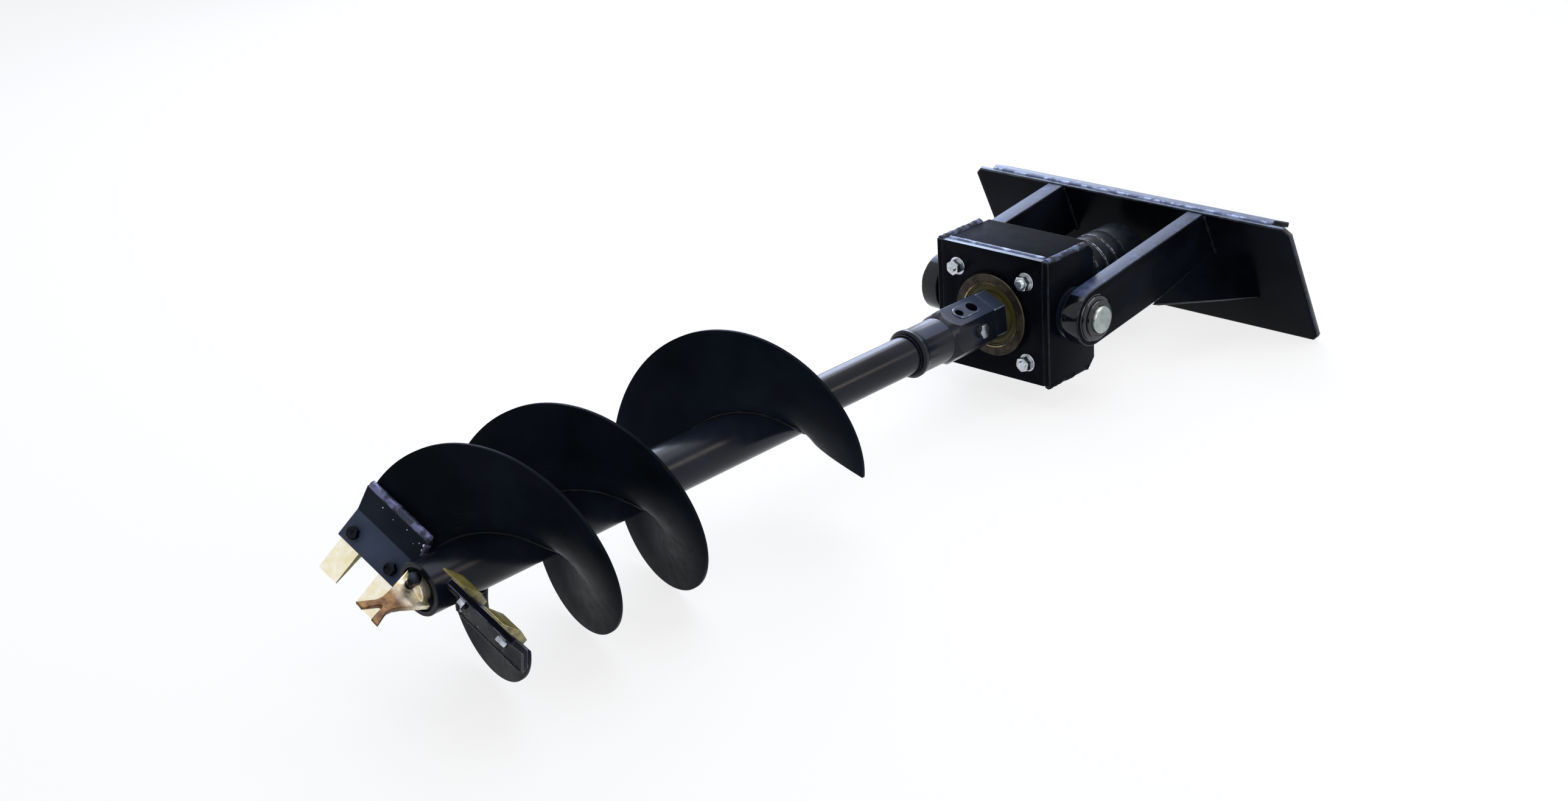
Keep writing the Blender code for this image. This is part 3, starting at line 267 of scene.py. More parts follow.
def linear(text):
    # An sRGB hex colour as linear light
    parts = [int(text[i:i + 2], 16) / 255 for i in (1, 3, 5)]
    return tuple(p / 12.92 if p <= 0.04045 else ((p + 0.055) / 1.055) ** 2.4 for p in parts) + (1.0,)


def addNode(tree, kind, links=None, values=None, stops=(), **settings):
    # One node with its settings, its sockets' values, its links and, for a ramp, its stops
    node = tree.nodes.new(kind)
    for key, value in settings.items():
        setattr(node, key, value)
    for key, value in (values or {}).items():
        node.inputs[key].default_value = value
    for key, source in (links or {}).items():
        tree.links.new(source, node.inputs[key])
    points = node.color_ramp.elements if stops else []
    while len(points) < len(stops):
        points.new(0.5)
    for point, (position, color) in zip(points, stops):
        point.position = position
        point.color = linear(color) if isinstance(color, str) else (color, color, color, 1)
    return node


def makeSurface(name, patterns, ramps, bump, **sockets):
    # A pattern is a noise: its size in mm on the real surface, its detail, its roughness and how it is stretched.
    # A ramp leads one pattern, or the product of two, to a socket. The bump is a pattern, its depth in mm, its strength
    material = bpy.data.materials.new(name)
    material.use_nodes = True
    tree = material.node_tree
    shader = tree.nodes["Principled BSDF"]
    for key, value in sockets.items():
        shader.inputs[key.replace("_", " ")].default_value = value
    where = addNode(tree, "ShaderNodeTexCoord").outputs["Object"]
    levels = {}
    for key, (sizeMm, detail, roughness, *stretch) in patterns.items():
        spread = where
        if stretch:
            spread = addNode(tree, "ShaderNodeMapping", {"Vector": where}, {"Scale": stretch[0]}).outputs["Vector"]
        levels[key] = addNode(tree, "ShaderNodeTexNoise", {"Vector": spread}, {
            "Scale": 1000 / sizeMm, "Detail": detail, "Roughness": roughness}).outputs["Fac"]
    for socket, (keys, *stops) in ramps.items():
        level = levels[keys[0]]
        for key in keys[1:]:
            level = addNode(tree, "ShaderNodeMath", {0: level, 1: levels[key]}, operation="MULTIPLY").outputs[0]
        color = addNode(tree, "ShaderNodeValToRGB", {"Fac": level}, stops=stops).outputs["Color"]
        tree.links.new(color, shader.inputs[socket])
    key, depthMm, strength = bump
    values = {"Strength": strength, "Distance": depthMm / 1000}
    normal = addNode(tree, "ShaderNodeBump", {"Height": levels[key]}, values)
    tree.links.new(normal.outputs["Normal"], shader.inputs["Normal"])
    return material


enamelLook = {"deep": "#05070b", "worn": "#10141c", "cloudMm": 160, "smearMm": 22, "peelMm": 5, "peelDepthMm": 0.05}


def makeEnamel(name, deep, worn, glossiest, dullest, index=1.5, level=0.5):
    # Sprayed gloss enamel on steel: near black, with a soft uneven mirror and faint orange peel
    look = enamelLook
    patterns = {"cloud": (look["cloudMm"], 5, 0.55), "smear": (look["smearMm"], 4, 0.65),
                "peel": (look["peelMm"], 2, 0.55)}
    ramps = {"Base Color": (["cloud"], (0.35, deep), (0.7, worn)),
             "Roughness": (["cloud", "smear"], (0.12, glossiest), (0.42, dullest))}
    return makeSurface(name, patterns, ramps, ("peel", look["peelDepthMm"], 0.5), Specular_IOR_Level=level, IOR=index)


def makeCutEdge(name, deep, middle, pale, level=0.5):
    # The flame-cut edge of thick plate under thin enamel: fine lines across it, and greyer than the face
    patterns = {"cloud": (26, 5, 0.65), "lines": (1.6, 2, 0.55, (0.06, 1, 1))}
    ramps = {"Base Color": (["cloud"], (0.3, deep), (0.55, middle), (0.78, pale)),
             "Roughness": (["cloud"], (0.3, 0.3), (0.7, 0.46))}
    return makeSurface(name, patterns, ramps, ("lines", 0.1, 0.5), Specular_IOR_Level=level)


def makeWornEnamel(name, paintColor, bareColor, share, chipMm=9, detail=6, metal=0.75, level=0.25):
    # The same enamel on an edge: rubbed thin and chipped to the bare steel in places
    low, high = 0.62 - share * 0.35, 0.7 - share * 0.35
    ramps = {"Base Color": (["chips"], (low, paintColor), (high, bareColor)),
             "Metallic": (["chips"], (low, 0.0), (high, metal)), "Roughness": (["chips"], (low, 0.3), (high, 0.42))}
    return makeSurface(name, {"chips": (chipMm, detail, 0.6)}, ramps, ("chips", 0.12, 0.5), Specular_IOR_Level=level)


def makeMetal(name, dark, light, glossiest, dullest, grainMm, grainDepthMm, metallic=1.0, stretch=(1, 1, 1), **sockets):
    # Plated, turned or cast metal: clouds of two tones, and a fine grain that breaks its mirror
    patterns = {"cloud": (18, 5, 0.6), "grain": (grainMm, 3, 0.6, stretch)}
    ramps = {"Base Color": (["cloud"], (0.32, dark), (0.68, light)),
             "Roughness": (["grain"], (0.3, glossiest), (0.7, dullest))}
    return makeSurface(name, patterns, ramps, ("grain", grainDepthMm, 0.6), Metallic=metallic, **sockets)


def layerStart(material):
    # What a further layer needs: the nodes, the place on the object and the socket of the colour
    tree = material.node_tree
    socket = tree.nodes["Principled BSDF"].inputs["Base Color"]
    where = addNode(tree, "ShaderNodeTexCoord").outputs["Object"]
    return tree, where, socket


def addLayer(tree, socket, share, color):
    # The layer's colour shows over the colour so far by its share
    mix = addNode(tree, "ShaderNodeMix", {"Factor": share, 6: socket.links[0].from_socket}, data_type="RGBA")
    if isinstance(color, str):
        mix.inputs[7].default_value = linear(color)
    else:
        tree.links.new(color, mix.inputs[7])
    tree.links.new(mix.outputs[2], socket)


# The scuffs fade between two radii, near and far, and between two heights over the auger's axis, lowSide and highSide
scuffLook = {"near": 0.046, "far": 0.112, "grey": "#474c53", "lineMm": 3.4, "patchMm": 90, "lowSide": -0.03,
             "highSide": 0.04, "highShare": 0.1, "axisHeight": 0.17958, "turnScale": 0.012}


def makeFlightEnamel(name):
    # Enamel on the rolled flighting, scuffed in rings round the tube where soil has turned against it
    look = scuffLook
    material = makeEnamel(name, "#0c1015", "#181e27", 0.26, 0.46, 1.06)
    tree, where, socket = layerStart(material)
    level = addNode(tree, "ShaderNodeMapping", {"Vector": where}, {
        "Location": (0, 0, -look["axisHeight"]), "Rotation": (radians(-driveFrame["tiltDeg"]), 0, 0)})
    parts = addNode(tree, "ShaderNodeSeparateXYZ", {"Vector": level.outputs["Vector"]}).outputs
    flat = addNode(tree, "ShaderNodeCombineXYZ", {"X": parts["X"], "Y": parts["Z"]}).outputs["Vector"]
    radius = addNode(tree, "ShaderNodeVectorMath", {0: flat}, operation="LENGTH").outputs["Value"]
    turn = addNode(tree, "ShaderNodeMath", {0: parts["Z"], 1: parts["X"]}, operation="ARCTAN2").outputs[0]
    slow = addNode(tree, "ShaderNodeMath", {0: turn}, {1: look["turnScale"]}, operation="MULTIPLY").outputs[0]
    rings = addNode(tree, "ShaderNodeCombineXYZ", {"X": radius, "Y": slow}).outputs["Vector"]
    masks = []
    for vector, sizeMm, roughness, low, high in ((rings, look["lineMm"], 0.6, 0.42, 0.68),
                                                 (where, look["patchMm"], 0.55, 0.44, 0.66)):
        spots = addNode(tree, "ShaderNodeTexNoise", {"Vector": vector}, {
            "Scale": 1000 / sizeMm, "Detail": 3, "Roughness": roughness}).outputs["Fac"]
        masks.append(addNode(tree, "ShaderNodeValToRGB", {"Fac": spots}, stops=((low, 0), (high, 1))).outputs["Color"])
    reach = addNode(tree, "ShaderNodeMapRange", {"Value": radius}, {
        "From Min": look["near"], "From Max": look["far"]}).outputs[0]
    masks.insert(1, addNode(tree, "ShaderNodeValToRGB", {"Fac": reach},
                            stops=((0.0, 0.2), (0.25, 1.0), (1.0, 0.0))).outputs["Color"])
    fade = {"From Min": look["lowSide"], "From Max": look["highSide"], "To Min": 1, "To Max": look["highShare"]}
    masks.append(addNode(tree, "ShaderNodeMapRange", {"Value": parts["Z"]}, fade).outputs[0])
    share = masks[0]
    for mask in masks[1:]:
        share = addNode(tree, "ShaderNodeMath", {0: share, 1: mask}, operation="MULTIPLY").outputs[0]
    addLayer(tree, socket, share, look["grey"])
    return material


pilotLightShade = {"litFrom": -0.952, "shadeFrom": -0.984, "deep": "#4d3425", "brown": "#765838", "patchMm": 14}


def makePilotLitShadedZinc(name):
    # Gold zinc on a forging: painted pale round its bolt as a highlight, and painted brown towards its prongs as shade
    look = pilotLightShade
    material = makeMetal(name, "#cdbb90", "#f8f1e0", 0.26, 0.46, 5, 0.05, 0.8)
    tree, where, socket = layerStart(material)
    along = addNode(tree, "ShaderNodeSeparateXYZ", {"Vector": where}).outputs["Y"]
    # from the bolt to the prongs, a painted shade of brown covers the pale painted highlight
    reach = addNode(tree, "ShaderNodeMapRange", {"Value": along}, {
        "From Min": look["litFrom"], "From Max": look["shadeFrom"]}).outputs[0]
    patches = addNode(tree, "ShaderNodeTexNoise", {"Vector": where}, {
        "Scale": 1000 / look["patchMm"], "Detail": 3, "Roughness": 0.55}).outputs["Fac"]
    brown = addNode(tree, "ShaderNodeValToRGB", {"Fac": patches}, stops=((0.35, look["deep"]), (0.65, look["brown"])))
    addLayer(tree, socket, reach, brown.outputs["Color"])
    return material


pilotLitShadedZinc = makePilotLitShadedZinc("goldZincPaintedLightShade")
# Sprayed on plate: near black with broad soft highlights
blackEnamel = makeEnamel("glossBlackEnamel", enamelLook["deep"], enamelLook["worn"], 0.22, 0.42, 1.09)
flightEnamel = makeFlightEnamel("flightBlackEnamel")
cutEdge = makeCutEdge("flameCutEdge", "#0a0d14", "#141a26", "#262e3d")
upCutEdgeHighlight = makeCutEdge("paintedHighlightCutEdge", "#333c50", "#57627b", "#8f9ab3")  # flame-cut edges that face up, painted paler: a painted highlight
litBarEnamel = makeEnamel("paintedLightSlateEnamel", "#191f29", "#29313d", 0.3, 0.46, 1.1)  # the upper bar's enamel, painted slate grey as lit from above
barTipHighlight = makeEnamel("paintedHighlightSlateTip", "#343c4e", "#4b566b", 0.3, 0.46, 1.2)  # paler still on its bent-up tip strip: a painted highlight
hubEnamel = makeEnamel("wetBlueBlackEnamel", "#0a0d13", "#181d27", 0.16, 0.3, 1.28)  # a thick wet coat
hubSkyReflection = makeEnamel("paintedSkyReflectionEnamel", "#222938", "#3a4355", 0.2, 0.34, 1.35)  # its upper flat painted blue-grey: a painted reflection of the sky
satinEnamel = makeEnamel("satinBlackEnamel", "#08090a", "#121315", 0.34, 0.52, 1.16)  # dull sheen on castings
wornEdge = makeWornEnamel("rubbedEnamelEdge", "#141921", "#3c4450", 0.34, 24)
rimEdge = makeWornEnamel("rubbedFlightRim", "#2a303c", "#7d8594", 0.5, 30)  # a pale line round the flight
# Enamel over a bead: dark, and smooth enough to show its ripples
weldEnamel = makeWornEnamel("enamelledWeldBead", "#06080d", "#141923", 0.24, 20, 2, 0.0, 0.07)
upWeldHighlight = makeWornEnamel("paintedHighlightWeldBead", "#56617d", "#9aa6c4", 0.42, 34, 2, 0.3)  # beads that face up, painted pale on their crests: a painted highlight
zincPlate = makeMetal("brightZincPlating", "#9fa6ad", "#d5dade", 0.16, 0.34, 3, 0.02)  # blue-white plated steel
pinSteel = makeMetal("turnedBrightSteel", "#87918e", "#a8b1ae", 0.24, 0.36, 2, 0.01)  # ground pin, clean and bright
oiledSteel = makeMetal("oiledTurnedSteel", "#25221e", "#433e37", 0.26, 0.42, 4, 0.02)  # under a brown film of oil
gearSteel = makeMetal("hardenedGearSteel", "#5d5f63", "#8b8e93", 0.25, 0.4, 3, 0.02)  # plain grey
toothLitZinc = makeMetal("paintedHighlightZincCasting", "#f1e6bd", "#fffbf0", 0.3, 0.48, 4, 0.05, 0.85)  # gold chromate, painted near white as a highlight on top
darkBolt = makeMetal("blackOxideSteel", "#090b0f", "#262a31", 0.24, 0.42, 3, 0.02)  # black with a metal's glint
boltEdge = makeWornEnamel("brightBoltCorner", "#1a1f2a", "#aab2c0", 0.55, 5)  # polished by the wrench
castBronze = makeMetal("castBronze", "#7b5a33", "#a8824f", 0.3, 0.45, 4, 0.03)  # warm brown gold
sealRubber = makeEnamel("oliveSealRubber", "#332f14", "#575021", 0.42, 0.6, level=0.25)  # dull olive nitrile
print("materials made:", len(bpy.data.materials))

nodeFinish = {
    "black_paint": blackEnamel, "auger_paint": flightEnamel, "keeper_paint": satinEnamel, "motor_paint": satinEnamel,
    "gear_case_paint": satinEnamel, "pin_steel": pinSteel, "bright_zinc": zincPlate, "machined_steel": oiledSteel,
    "gear_steel": gearSteel, "tooth_alloy": toothLitZinc, "pilot_alloy": pilotLitShadedZinc, "seal_rubber": sealRubber,
    "bronze": castBronze}
for node, slot in slotOf.items():
    paint(frame["nodes"][node], nodeFinish[slot])


# Studio

cameraLook = {"place": (2.71218, -2.91232, 1.91683), "right": (0.737608, 0.670958, -0.075826),
              "up": (-0.220212, 0.345191, 0.912332), "lens": 57.1707, "sensor": 36, "reach": 200}
studio = {"floorHex": "#f4f4f4", "floorGlow": 0.8, "floorSize": 80, "worldHex": "#eef2f8", "worldLevel": 0.45}
# Each lamp's place, target, width, height, power and colour
lamps = {
    "skyPanel": ((0.2, 0.8, 3.4), (0, 0, 0), 3.2, 3.2, 80, "#eaf1ff"),
    "backPanel": ((-2.3, 2.3, 2.5), (0, 0.2, 0.1), 2.6, 2.6, 80, "#e4edff"),
    "streakPanel": ((-2.7, 2.6, 1.55), (0, -0.1, 0.2), 1.5, 2.5, 54, "#c2d5ff"),
    "warmPanel": ((2.8, 2.3, 1.95), (0, 2.3, 0.17), 2.4, 0.85, 30, "#f2dfcb"),
    "sidePanel": ((3.2, -0.6, 1.6), (0, 0.1, 0.15), 1.6, 1.6, 20, "#ffffff")}


def makeCamera():
    data = bpy.data.cameras.new("Camera")
    camera = linked("Camera", data)
    right, up = Vector(cameraLook["right"]), Vector(cameraLook["up"])
    camera.matrix_world = Matrix.Translation(cameraLook["place"]) @ Matrix(
        (right, up, right.cross(up))).transposed().to_4x4()
    data.lens = cameraLook["lens"]
    data.sensor_width = cameraLook["sensor"]
    data.sensor_fit = "HORIZONTAL"
    data.clip_end = cameraLook["reach"]
    bpy.context.scene.camera = camera


def seenStraight(tree):
    # 1 for what the camera sees itself or in a mirror or through glass
    path = addNode(tree, "ShaderNodeLightPath").outputs
    seen = path["Is Camera Ray"]
    for ray in ("Is Glossy Ray", "Is Transmission Ray"):
        seen = addNode(tree, "ShaderNodeMath", {0: seen, 1: path[ray]}, operation="MAXIMUM").outputs[0]
    return seen


def makeFloor():
    deselectAll()
    bpy.ops.mesh.primitive_plane_add(size=studio["floorSize"], location=(0, 0, 0))
    floor = named("studioFloor")
    material = bpy.data.materials.new("paleFloor")  # matte, and lit enough to stay white to the camera
    material.use_nodes = True
    tree = material.node_tree
    tree.nodes.clear()
    matte = addNode(tree, "ShaderNodeBsdfDiffuse", values={"Color": linear(studio["floorHex"])})
    glow = addNode(tree, "ShaderNodeEmission", values={"Color": (1, 1, 1, 1), "Strength": 1.0})
    share = addNode(tree, "ShaderNodeMath", {0: seenStraight(tree)}, {1: studio["floorGlow"]}, operation="MULTIPLY")
    mix = addNode(tree, "ShaderNodeMixShader", {0: share.outputs[0], 1: matte.outputs[0], 2: glow.outputs[0]})
    addNode(tree, "ShaderNodeOutputMaterial", {"Surface": mix.outputs[0]})
    paint(floor, material)


def makeWorld():
    world = bpy.data.worlds.new("studioWorld")
    bpy.context.scene.world = world
    world.use_nodes = True
    tree = world.node_tree
    tree.nodes.clear()
    light = addNode(tree, "ShaderNodeBackground", values={
        "Color": linear(studio["worldHex"]), "Strength": studio["worldLevel"]})
    white = addNode(tree, "ShaderNodeBackground", values={"Color": (1, 1, 1, 1), "Strength": 1.0})
    mix = addNode(tree, "ShaderNodeMixShader", {0: seenStraight(tree), 1: light.outputs[0], 2: white.outputs[0]})
    addNode(tree, "ShaderNodeOutputWorld", {"Surface": mix.outputs[0]})


def makeLamp(name, where, target, width, height, power, color):
    data = bpy.data.lights.new(name, "AREA")
    data.shape = "RECTANGLE"
    data.size, data.size_y = width, height
    data.energy = power
    data.color = linear(color)[:3]
    lamp = linked(name, data)
    lamp.location = where
    lamp.visible_camera = False
    lamp.rotation_euler = (Vector(target) - Vector(where)).to_track_quat("-Z", "Y").to_euler()


makeCamera()
makeFloor()
makeWorld()
for name, values in lamps.items():
    makeLamp(name, *values)
bpy.context.scene.view_settings.view_transform = "Standard"
print("studio ready")


# The auger's flights

auger = {"flightRadius": 0.1915, "pitch": 0.3773, "thick": 0.0062, "zero": 0.604677, "coreRadius": 0.044,
         "startDeg": -66, "tipDeg": -22, "rootDeg": -60, "endDeg": 697.5, "secondStartDeg": 356, "marginDeg": 8,
         "coreStart": 0.502, "coreEnd": 1.39, "tubeRadius": 0.0357, "tubeBore": 0.0297, "tubeStart": 0.2524,
         "stepDeg": 3.0, "weldRadius": 0.0036, "weldStepDeg": 1.6}
# The bar's outline across its length, on the face towards the tip: back, bend and tip as (y, z)
barLook = {"turnDeg": -24.5, "start": 0.0446, "reach": 0.192, "thick": 0.012, "back": (-0.0345, 1.3405),
           "bend": (0.01, 1.3515), "tip": (0.049, 1.3835), "gap": 0.0003}
flights = (("mainFlight", "main_flight", auger["startDeg"], 0),
           ("secondFlight", "second_flight", auger["secondStartDeg"], 180))


def offFace(point, slope, off, along=0.0):
    # Off a sloping face by one distance, and along it by another
    return (point[0] + off * sin(slope) + along * cos(slope), point[1] - off * cos(slope) + along * sin(slope))


def barRoom(turnDeg):
    # The room over the bar's upper face that the flight leaves free
    look, length, behind = barLook, 0.21, 0.069
    back, bend, tip, thick = look["back"], look["bend"], look["tip"], look["thick"] + look["gap"]
    first = atan2(bend[1] - back[1], bend[0] - back[0])
    second = atan2(tip[1] - bend[1], tip[0] - bend[0])
    upperBack = offFace(back, first, thick, -behind)
    upperBend = offFace(bend, (first + second) / 2, thick / cos((second - first) / 2))
    upperTip = offFace(tip, second, thick, behind)
    far = upperTip[1] + 0.2
    obj = prism("barRoom", [upperBack, upperBend, upperTip, (upperTip[0], far), (upperBack[0], far)], 0.0, length)
    obj.matrix_world = rotation(turnDeg)
    return baked(obj)


def flightPlace(angleDeg):
    return auger["zero"] + auger["pitch"] * angleDeg / 360


def flightPoint(angleDeg, radius, turnDeg, lift=0.0):
    a = radians(angleDeg + turnDeg)
    return Vector((radius * cos(a), radius * sin(a), flightPlace(angleDeg) + lift))


def buildFlight(name, node, startDeg, turnDeg):
    # A strip of the blade's width, wound up the tube by a screw and given its thickness
    begin, sweep = startDeg - auger["marginDeg"], auger["endDeg"] - startDeg + auger["marginDeg"]
    rings = [auger["coreRadius"] - 0.0004, 0.075, 0.115, 0.155, auger["flightRadius"]]
    obj = meshObject(name, [(r, 0, 0) for r in rings], [(i, i + 1) for i in range(len(rings) - 1)])
    steps = ceil(sweep / auger["stepDeg"])
    modify(obj, "SCREW", axis="Z", angle=radians(sweep), screw_offset=auger["pitch"] * sweep / 360, steps=steps,
           render_steps=steps, merge_threshold=0.00001)
    modify(obj, "SOLIDIFY", thickness=auger["thick"], offset=0)
    obj.matrix_world = rotation(begin + turnDeg) @ shift(0, 0, flightPlace(begin))
    baked(obj)
    late = startDeg - auger["startDeg"]
    root = flightPoint(late + auger["rootDeg"], auger["coreRadius"], turnDeg).xy
    tip = flightPoint(late + auger["tipDeg"], auger["flightRadius"], turnDeg).xy
    way = (tip - root).normalized()
    middle = (root + tip) / 2 + Vector((way.y, -way.x)) * 0.15
    cutter = block(name + "Cut", (-0.2, -0.15, -0.09), (0.2, 0.15, 0.13))
    place(cutter, shift(*middle, flightPlace(startDeg)) @ Matrix.Rotation(atan2(way.y, way.x), 4, "Z"))
    cut(obj, cutter)
    for opposite in (0, 180):
        cut(obj, barRoom(barLook["turnDeg"] + opposite))
    cleanMesh(place(obj, drive))
    softEdges(obj, 0.0012, 2, 50)
    complete(obj, node, 32, flightEnamel, rimEdge)


for name, node, startDeg, turnDeg in flights:
    buildFlight(name + "Blade", node, startDeg, turnDeg)
print("flights wound")


# Weld beads

weldLook = {"rippleLength": 0.0045, "lumpsPerMetre": 90, "endShare": 0.35, "step": 0.0012, "shadeDeg": 60}


def weldBead(name, points, radius, matrix, node, seed, material=weldEnamel, ripple=0.16, lump=0.22, resolution=2):
    # A bead laid along points: its height swells and falls every few millimetres
    look = weldLook
    data = bpy.data.curves.new(name, "CURVE")
    data.dimensions = "3D"
    data.bevel_depth = radius
    data.bevel_resolution = resolution
    data.use_fill_caps = True
    spline = data.splines.new("POLY")
    spline.points.add(len(points) - 1)
    run = 0.0
    for i, point in enumerate(points):
        if i:
            run += (Vector(point) - Vector(points[i - 1])).length
        swell = ripple * sin(run * 2 * pi / look["rippleLength"])
        swell += lump * noise(Vector((run * look["lumpsPerMetre"], seed, 0.3)))
        spline.points[i].co = (*point, 1)
        spline.points[i].radius = 1 + swell
    spline.points[0].radius = spline.points[-1].radius = look["endShare"]
    makeActive(linked(name, data))
    bpy.ops.object.convert(target="MESH")
    obj = cleanMesh(place(named(name), matrix))
    complete(obj, node, look["shadeDeg"], material, standsFor=False)


def flightWeld(name, node, startDeg, turnDeg, side, seed):
    lift = side * (auger["thick"] / 2 + auger["weldRadius"] * 0.45)
    radius = auger["coreRadius"] + auger["weldRadius"] * 0.35
    first = startDeg - auger["startDeg"] + auger["rootDeg"] + 4
    count = int((auger["endDeg"] - 10 - first) / auger["weldStepDeg"])
    points = [flightPoint(first + auger["weldStepDeg"] * i, radius, turnDeg, lift) for i in range(count)]
    weldBead(name, points, auger["weldRadius"], drive, node, seed)


for name, node, startDeg, turnDeg in flights:
    seed = 1 if turnDeg == 0 else 3
    flightWeld(name + "WeldFront", node, startDeg, turnDeg, 1, seed)
    flightWeld(name + "WeldBack", node, startDeg, turnDeg, -1, seed + 1)
print("flight welds laid")


def ringWeld(name, radius, along, beadRadius, node, seed):
    count = int(2 * pi * radius / weldLook["step"])
    angles = [2 * pi * i / count for i in range(count + 1)]
    weldBead(name, [(radius * cos(a), radius * sin(a), along) for a in angles], beadRadius, drive, node, seed)


def straightWeld(name, start, end, beadRadius, matrix, node, seed, **look):
    start, end = Vector(start), Vector(end)
    count = max(8, int((end - start).length / weldLook["step"]))
    weldBead(name, [start.lerp(end, i / count) for i in range(count + 1)], beadRadius, matrix, node, seed, **look)


# The auger's two tubes

# A thick wet coat on pipe: one sharp streak along it
tubeEnamel = makeEnamel("tubeBlackEnamel", "#0a0d14", "#171c27", 0.16, 0.27, 1.25)


def buildTubes():
    start, end, tube, core = auger["coreStart"], auger["coreEnd"], auger["tubeRadius"], auger["coreRadius"]
    bore, first, socket = auger["tubeBore"], auger["tubeStart"], auger["tubeRadius"] + 0.0003
    upper = turned("upperTubePipe", [
        (tube, start + 0.07), (tube, first + 0.0008), (tube - 0.0008, first), (bore, first), (bore, start + 0.07)])
    complete(place(upper, drive), "upper_tube", 30, tubeEnamel)
    lower = turned("flightedTubePipe", [
        (core - 0.0012, end), (core, end - 0.0012), (core, start + 0.0016), (core - 0.0016, start),
        (socket, start), (socket, end)], 128)
    complete(place(lower, drive), "flighted_tube", 30, tubeEnamel)
    ringWeld("hubTubeWeld", tube + 0.0008, 0.2542, 0.0026, "upper_tube", 11)
    ringWeld("tubeStepWeld", tube + 0.0022, start - 0.0016, 0.0034, "upper_tube", 12)
    ringWeld("socketWeld", socket - 0.0022, end - 0.0052, 0.002, "flighted_tube", 13)


buildTubes()
print("tubes and ring welds made")


# Hexagons, nuts and bolts

def hexPrism(name, acrossFlats, start, end, centre=(0, 0), cornerDeg=0.0):
    # Corners at cornerDeg and every 60 degrees from it; Blender's own first corner stands at 90
    return rod(name, acrossFlats / 2 / cos(pi / 6), start, end, centre, 6, radians(cornerDeg - 30))


def chamferedHex(name, acrossFlats, start, end, centre=(0, 0), cornerDeg=0.0, bothEnds=True):
    # Corners turned off at the ends, as on a real nut or bolt head
    body = hexPrism(name, acrossFlats, start, end, centre, cornerDeg)
    flat, corner = acrossFlats / 2, acrossFlats / 2 / cos(pi / 6)
    rise, land = (corner - flat) * 0.6, flat * 0.97
    low = [(corner, start + rise), (land, start), (0, start)] if bothEnds else [
        (corner, start - 0.001), (0, start - 0.0005)]
    tool = turned(name + "Tool", [(land, end), (corner, end - rise)] + low + [(0, end)], 48)
    return cut(body, movedTo(tool, centre), "INTERSECT")


def threadedEnd(name, radius, start, end, centre=(0, 0), pitch=0.0018, depth=0.0007):
    outline = [(0, start), (radius, start)]
    for i in range(int((end - start - 0.002) / pitch)):
        base = start + 0.0005 + i * pitch
        outline += [(radius, base), (radius - depth, base + pitch * 0.5)]
    outline += [(radius, end - 0.0014), (radius - 0.0014, end), (0, end)]
    return movedTo(turned(name, outline, 40), centre)


studLook = {"spread": 0.0796, "radius": 0.0079, "proud": 0.023, "washer": 0.0172, "washerTop": 0.0031,
            "nut": 0.0254, "nutThick": 0.015, "back": -0.0289, "tail": 0.007}


def buildStuds():
    look = studLook
    wide, top, back = look["washer"], look["washerTop"], look["back"]
    for name, x, y, turnDeg in (("upper_right", 1, 1, 8), ("upper_left", -1, 1, 31), ("lower_right", 1, -1, 20),
                                ("lower_left", -1, -1, 47)):
        centre = (x * look["spread"], y * look["spread"])
        washer = movedTo(turned("washer", [(wide, 0.0003), (wide, top - 0.0005), (wide - 0.0006, top), (0.009, top),
                                           (0.0086, 0.0003)], 48), centre)
        nut = chamferedHex("nut", look["nut"], top, top + look["nutThick"], centre, turnDeg)
        softEdges(nut, 0.0004, 2, 20, 0)
        stud = threadedEnd("stud", look["radius"], back - look["tail"], look["proud"], centre)
        head = chamferedHex("head", look["nut"], back - look["nutThick"], back, centre, turnDeg)
        fastener = joined("frontStud_" + name, [stud, washer, nut, head])
        complete(place(fastener, drive), "front_stud_" + name, 28, zincPlate)


buildStuds()
print("studs, washers and nuts made")


# The output hub

# Handled zinc, with paint in its corners: grey and dull
dullZinc = makeMetal("dulledZincPlating", "#3f4550", "#a7aeb9", 0.2, 0.36, 3, 0.02)
hubEdge = makeWornEnamel("rubbedHubEdge", "#4a556d", "#8c97ab", 0.55, 22)  # a pale line along its corners
hubLook = {"flats": 0.092, "rearFlats": 0.088, "start": 0.014, "step": 0.048, "end": 0.162, "flatDeg": 66.5,
           "neck": 0.0425, "neckEnd": 0.237, "ring": 0.045, "ringEnd": 0.252, "bossWidth": 0.03,
           "bossLength": 0.062, "bossProud": 0.0025, "bossRim": 0.0012, "bossPlace": 0.1028,
           "smallHole": (0.1216, 0.008), "largeHole": (0.086, 0.0112), "boltPlace": 0.093, "boltFlats": 0.024,
           "boltHead": 0.011, "boltHole": 0.0083, "boltRadius": 0.008, "shaftFlats": 0.0514}


def ovalBoss(name, width, length, low, high, rim):
    # Three outlines in the plane of y and z, at its foot, its shoulder and its narrower top, which looks along x
    half, straight = width / 2, (length - width) / 2
    points = []
    for end, first in ((1, 0), (-1, 180)):
        for i in range(17):
            a = radians(first + 180 * i / 16)
            points.append((half * cos(a), end * straight + half * sin(a)))
    rings = ((low, 1, 1), (high - rim, 1, 1), (high, 1 - 2 * rim / width, 1 - 2 * rim / length))
    count = len(points)
    faces = [list(range(count)), list(range(2 * count, 3 * count))]
    for first in (0, count):
        faces += [[first + i, first + (i + 1) % count, first + count + (i + 1) % count, first + count + i]
                  for i in range(count)]
    return cleanMesh(meshObject(name, [(x, y * thin, z * short) for x, thin, short in rings for y, z in points],
                                faces=faces))


def sideways(turnDeg, along):
    # Across the hub's axis, out of the flat or corner that stands at turnDeg
    return rotation(turnDeg) @ shift(0, 0, along) @ rotation(90, "Y")


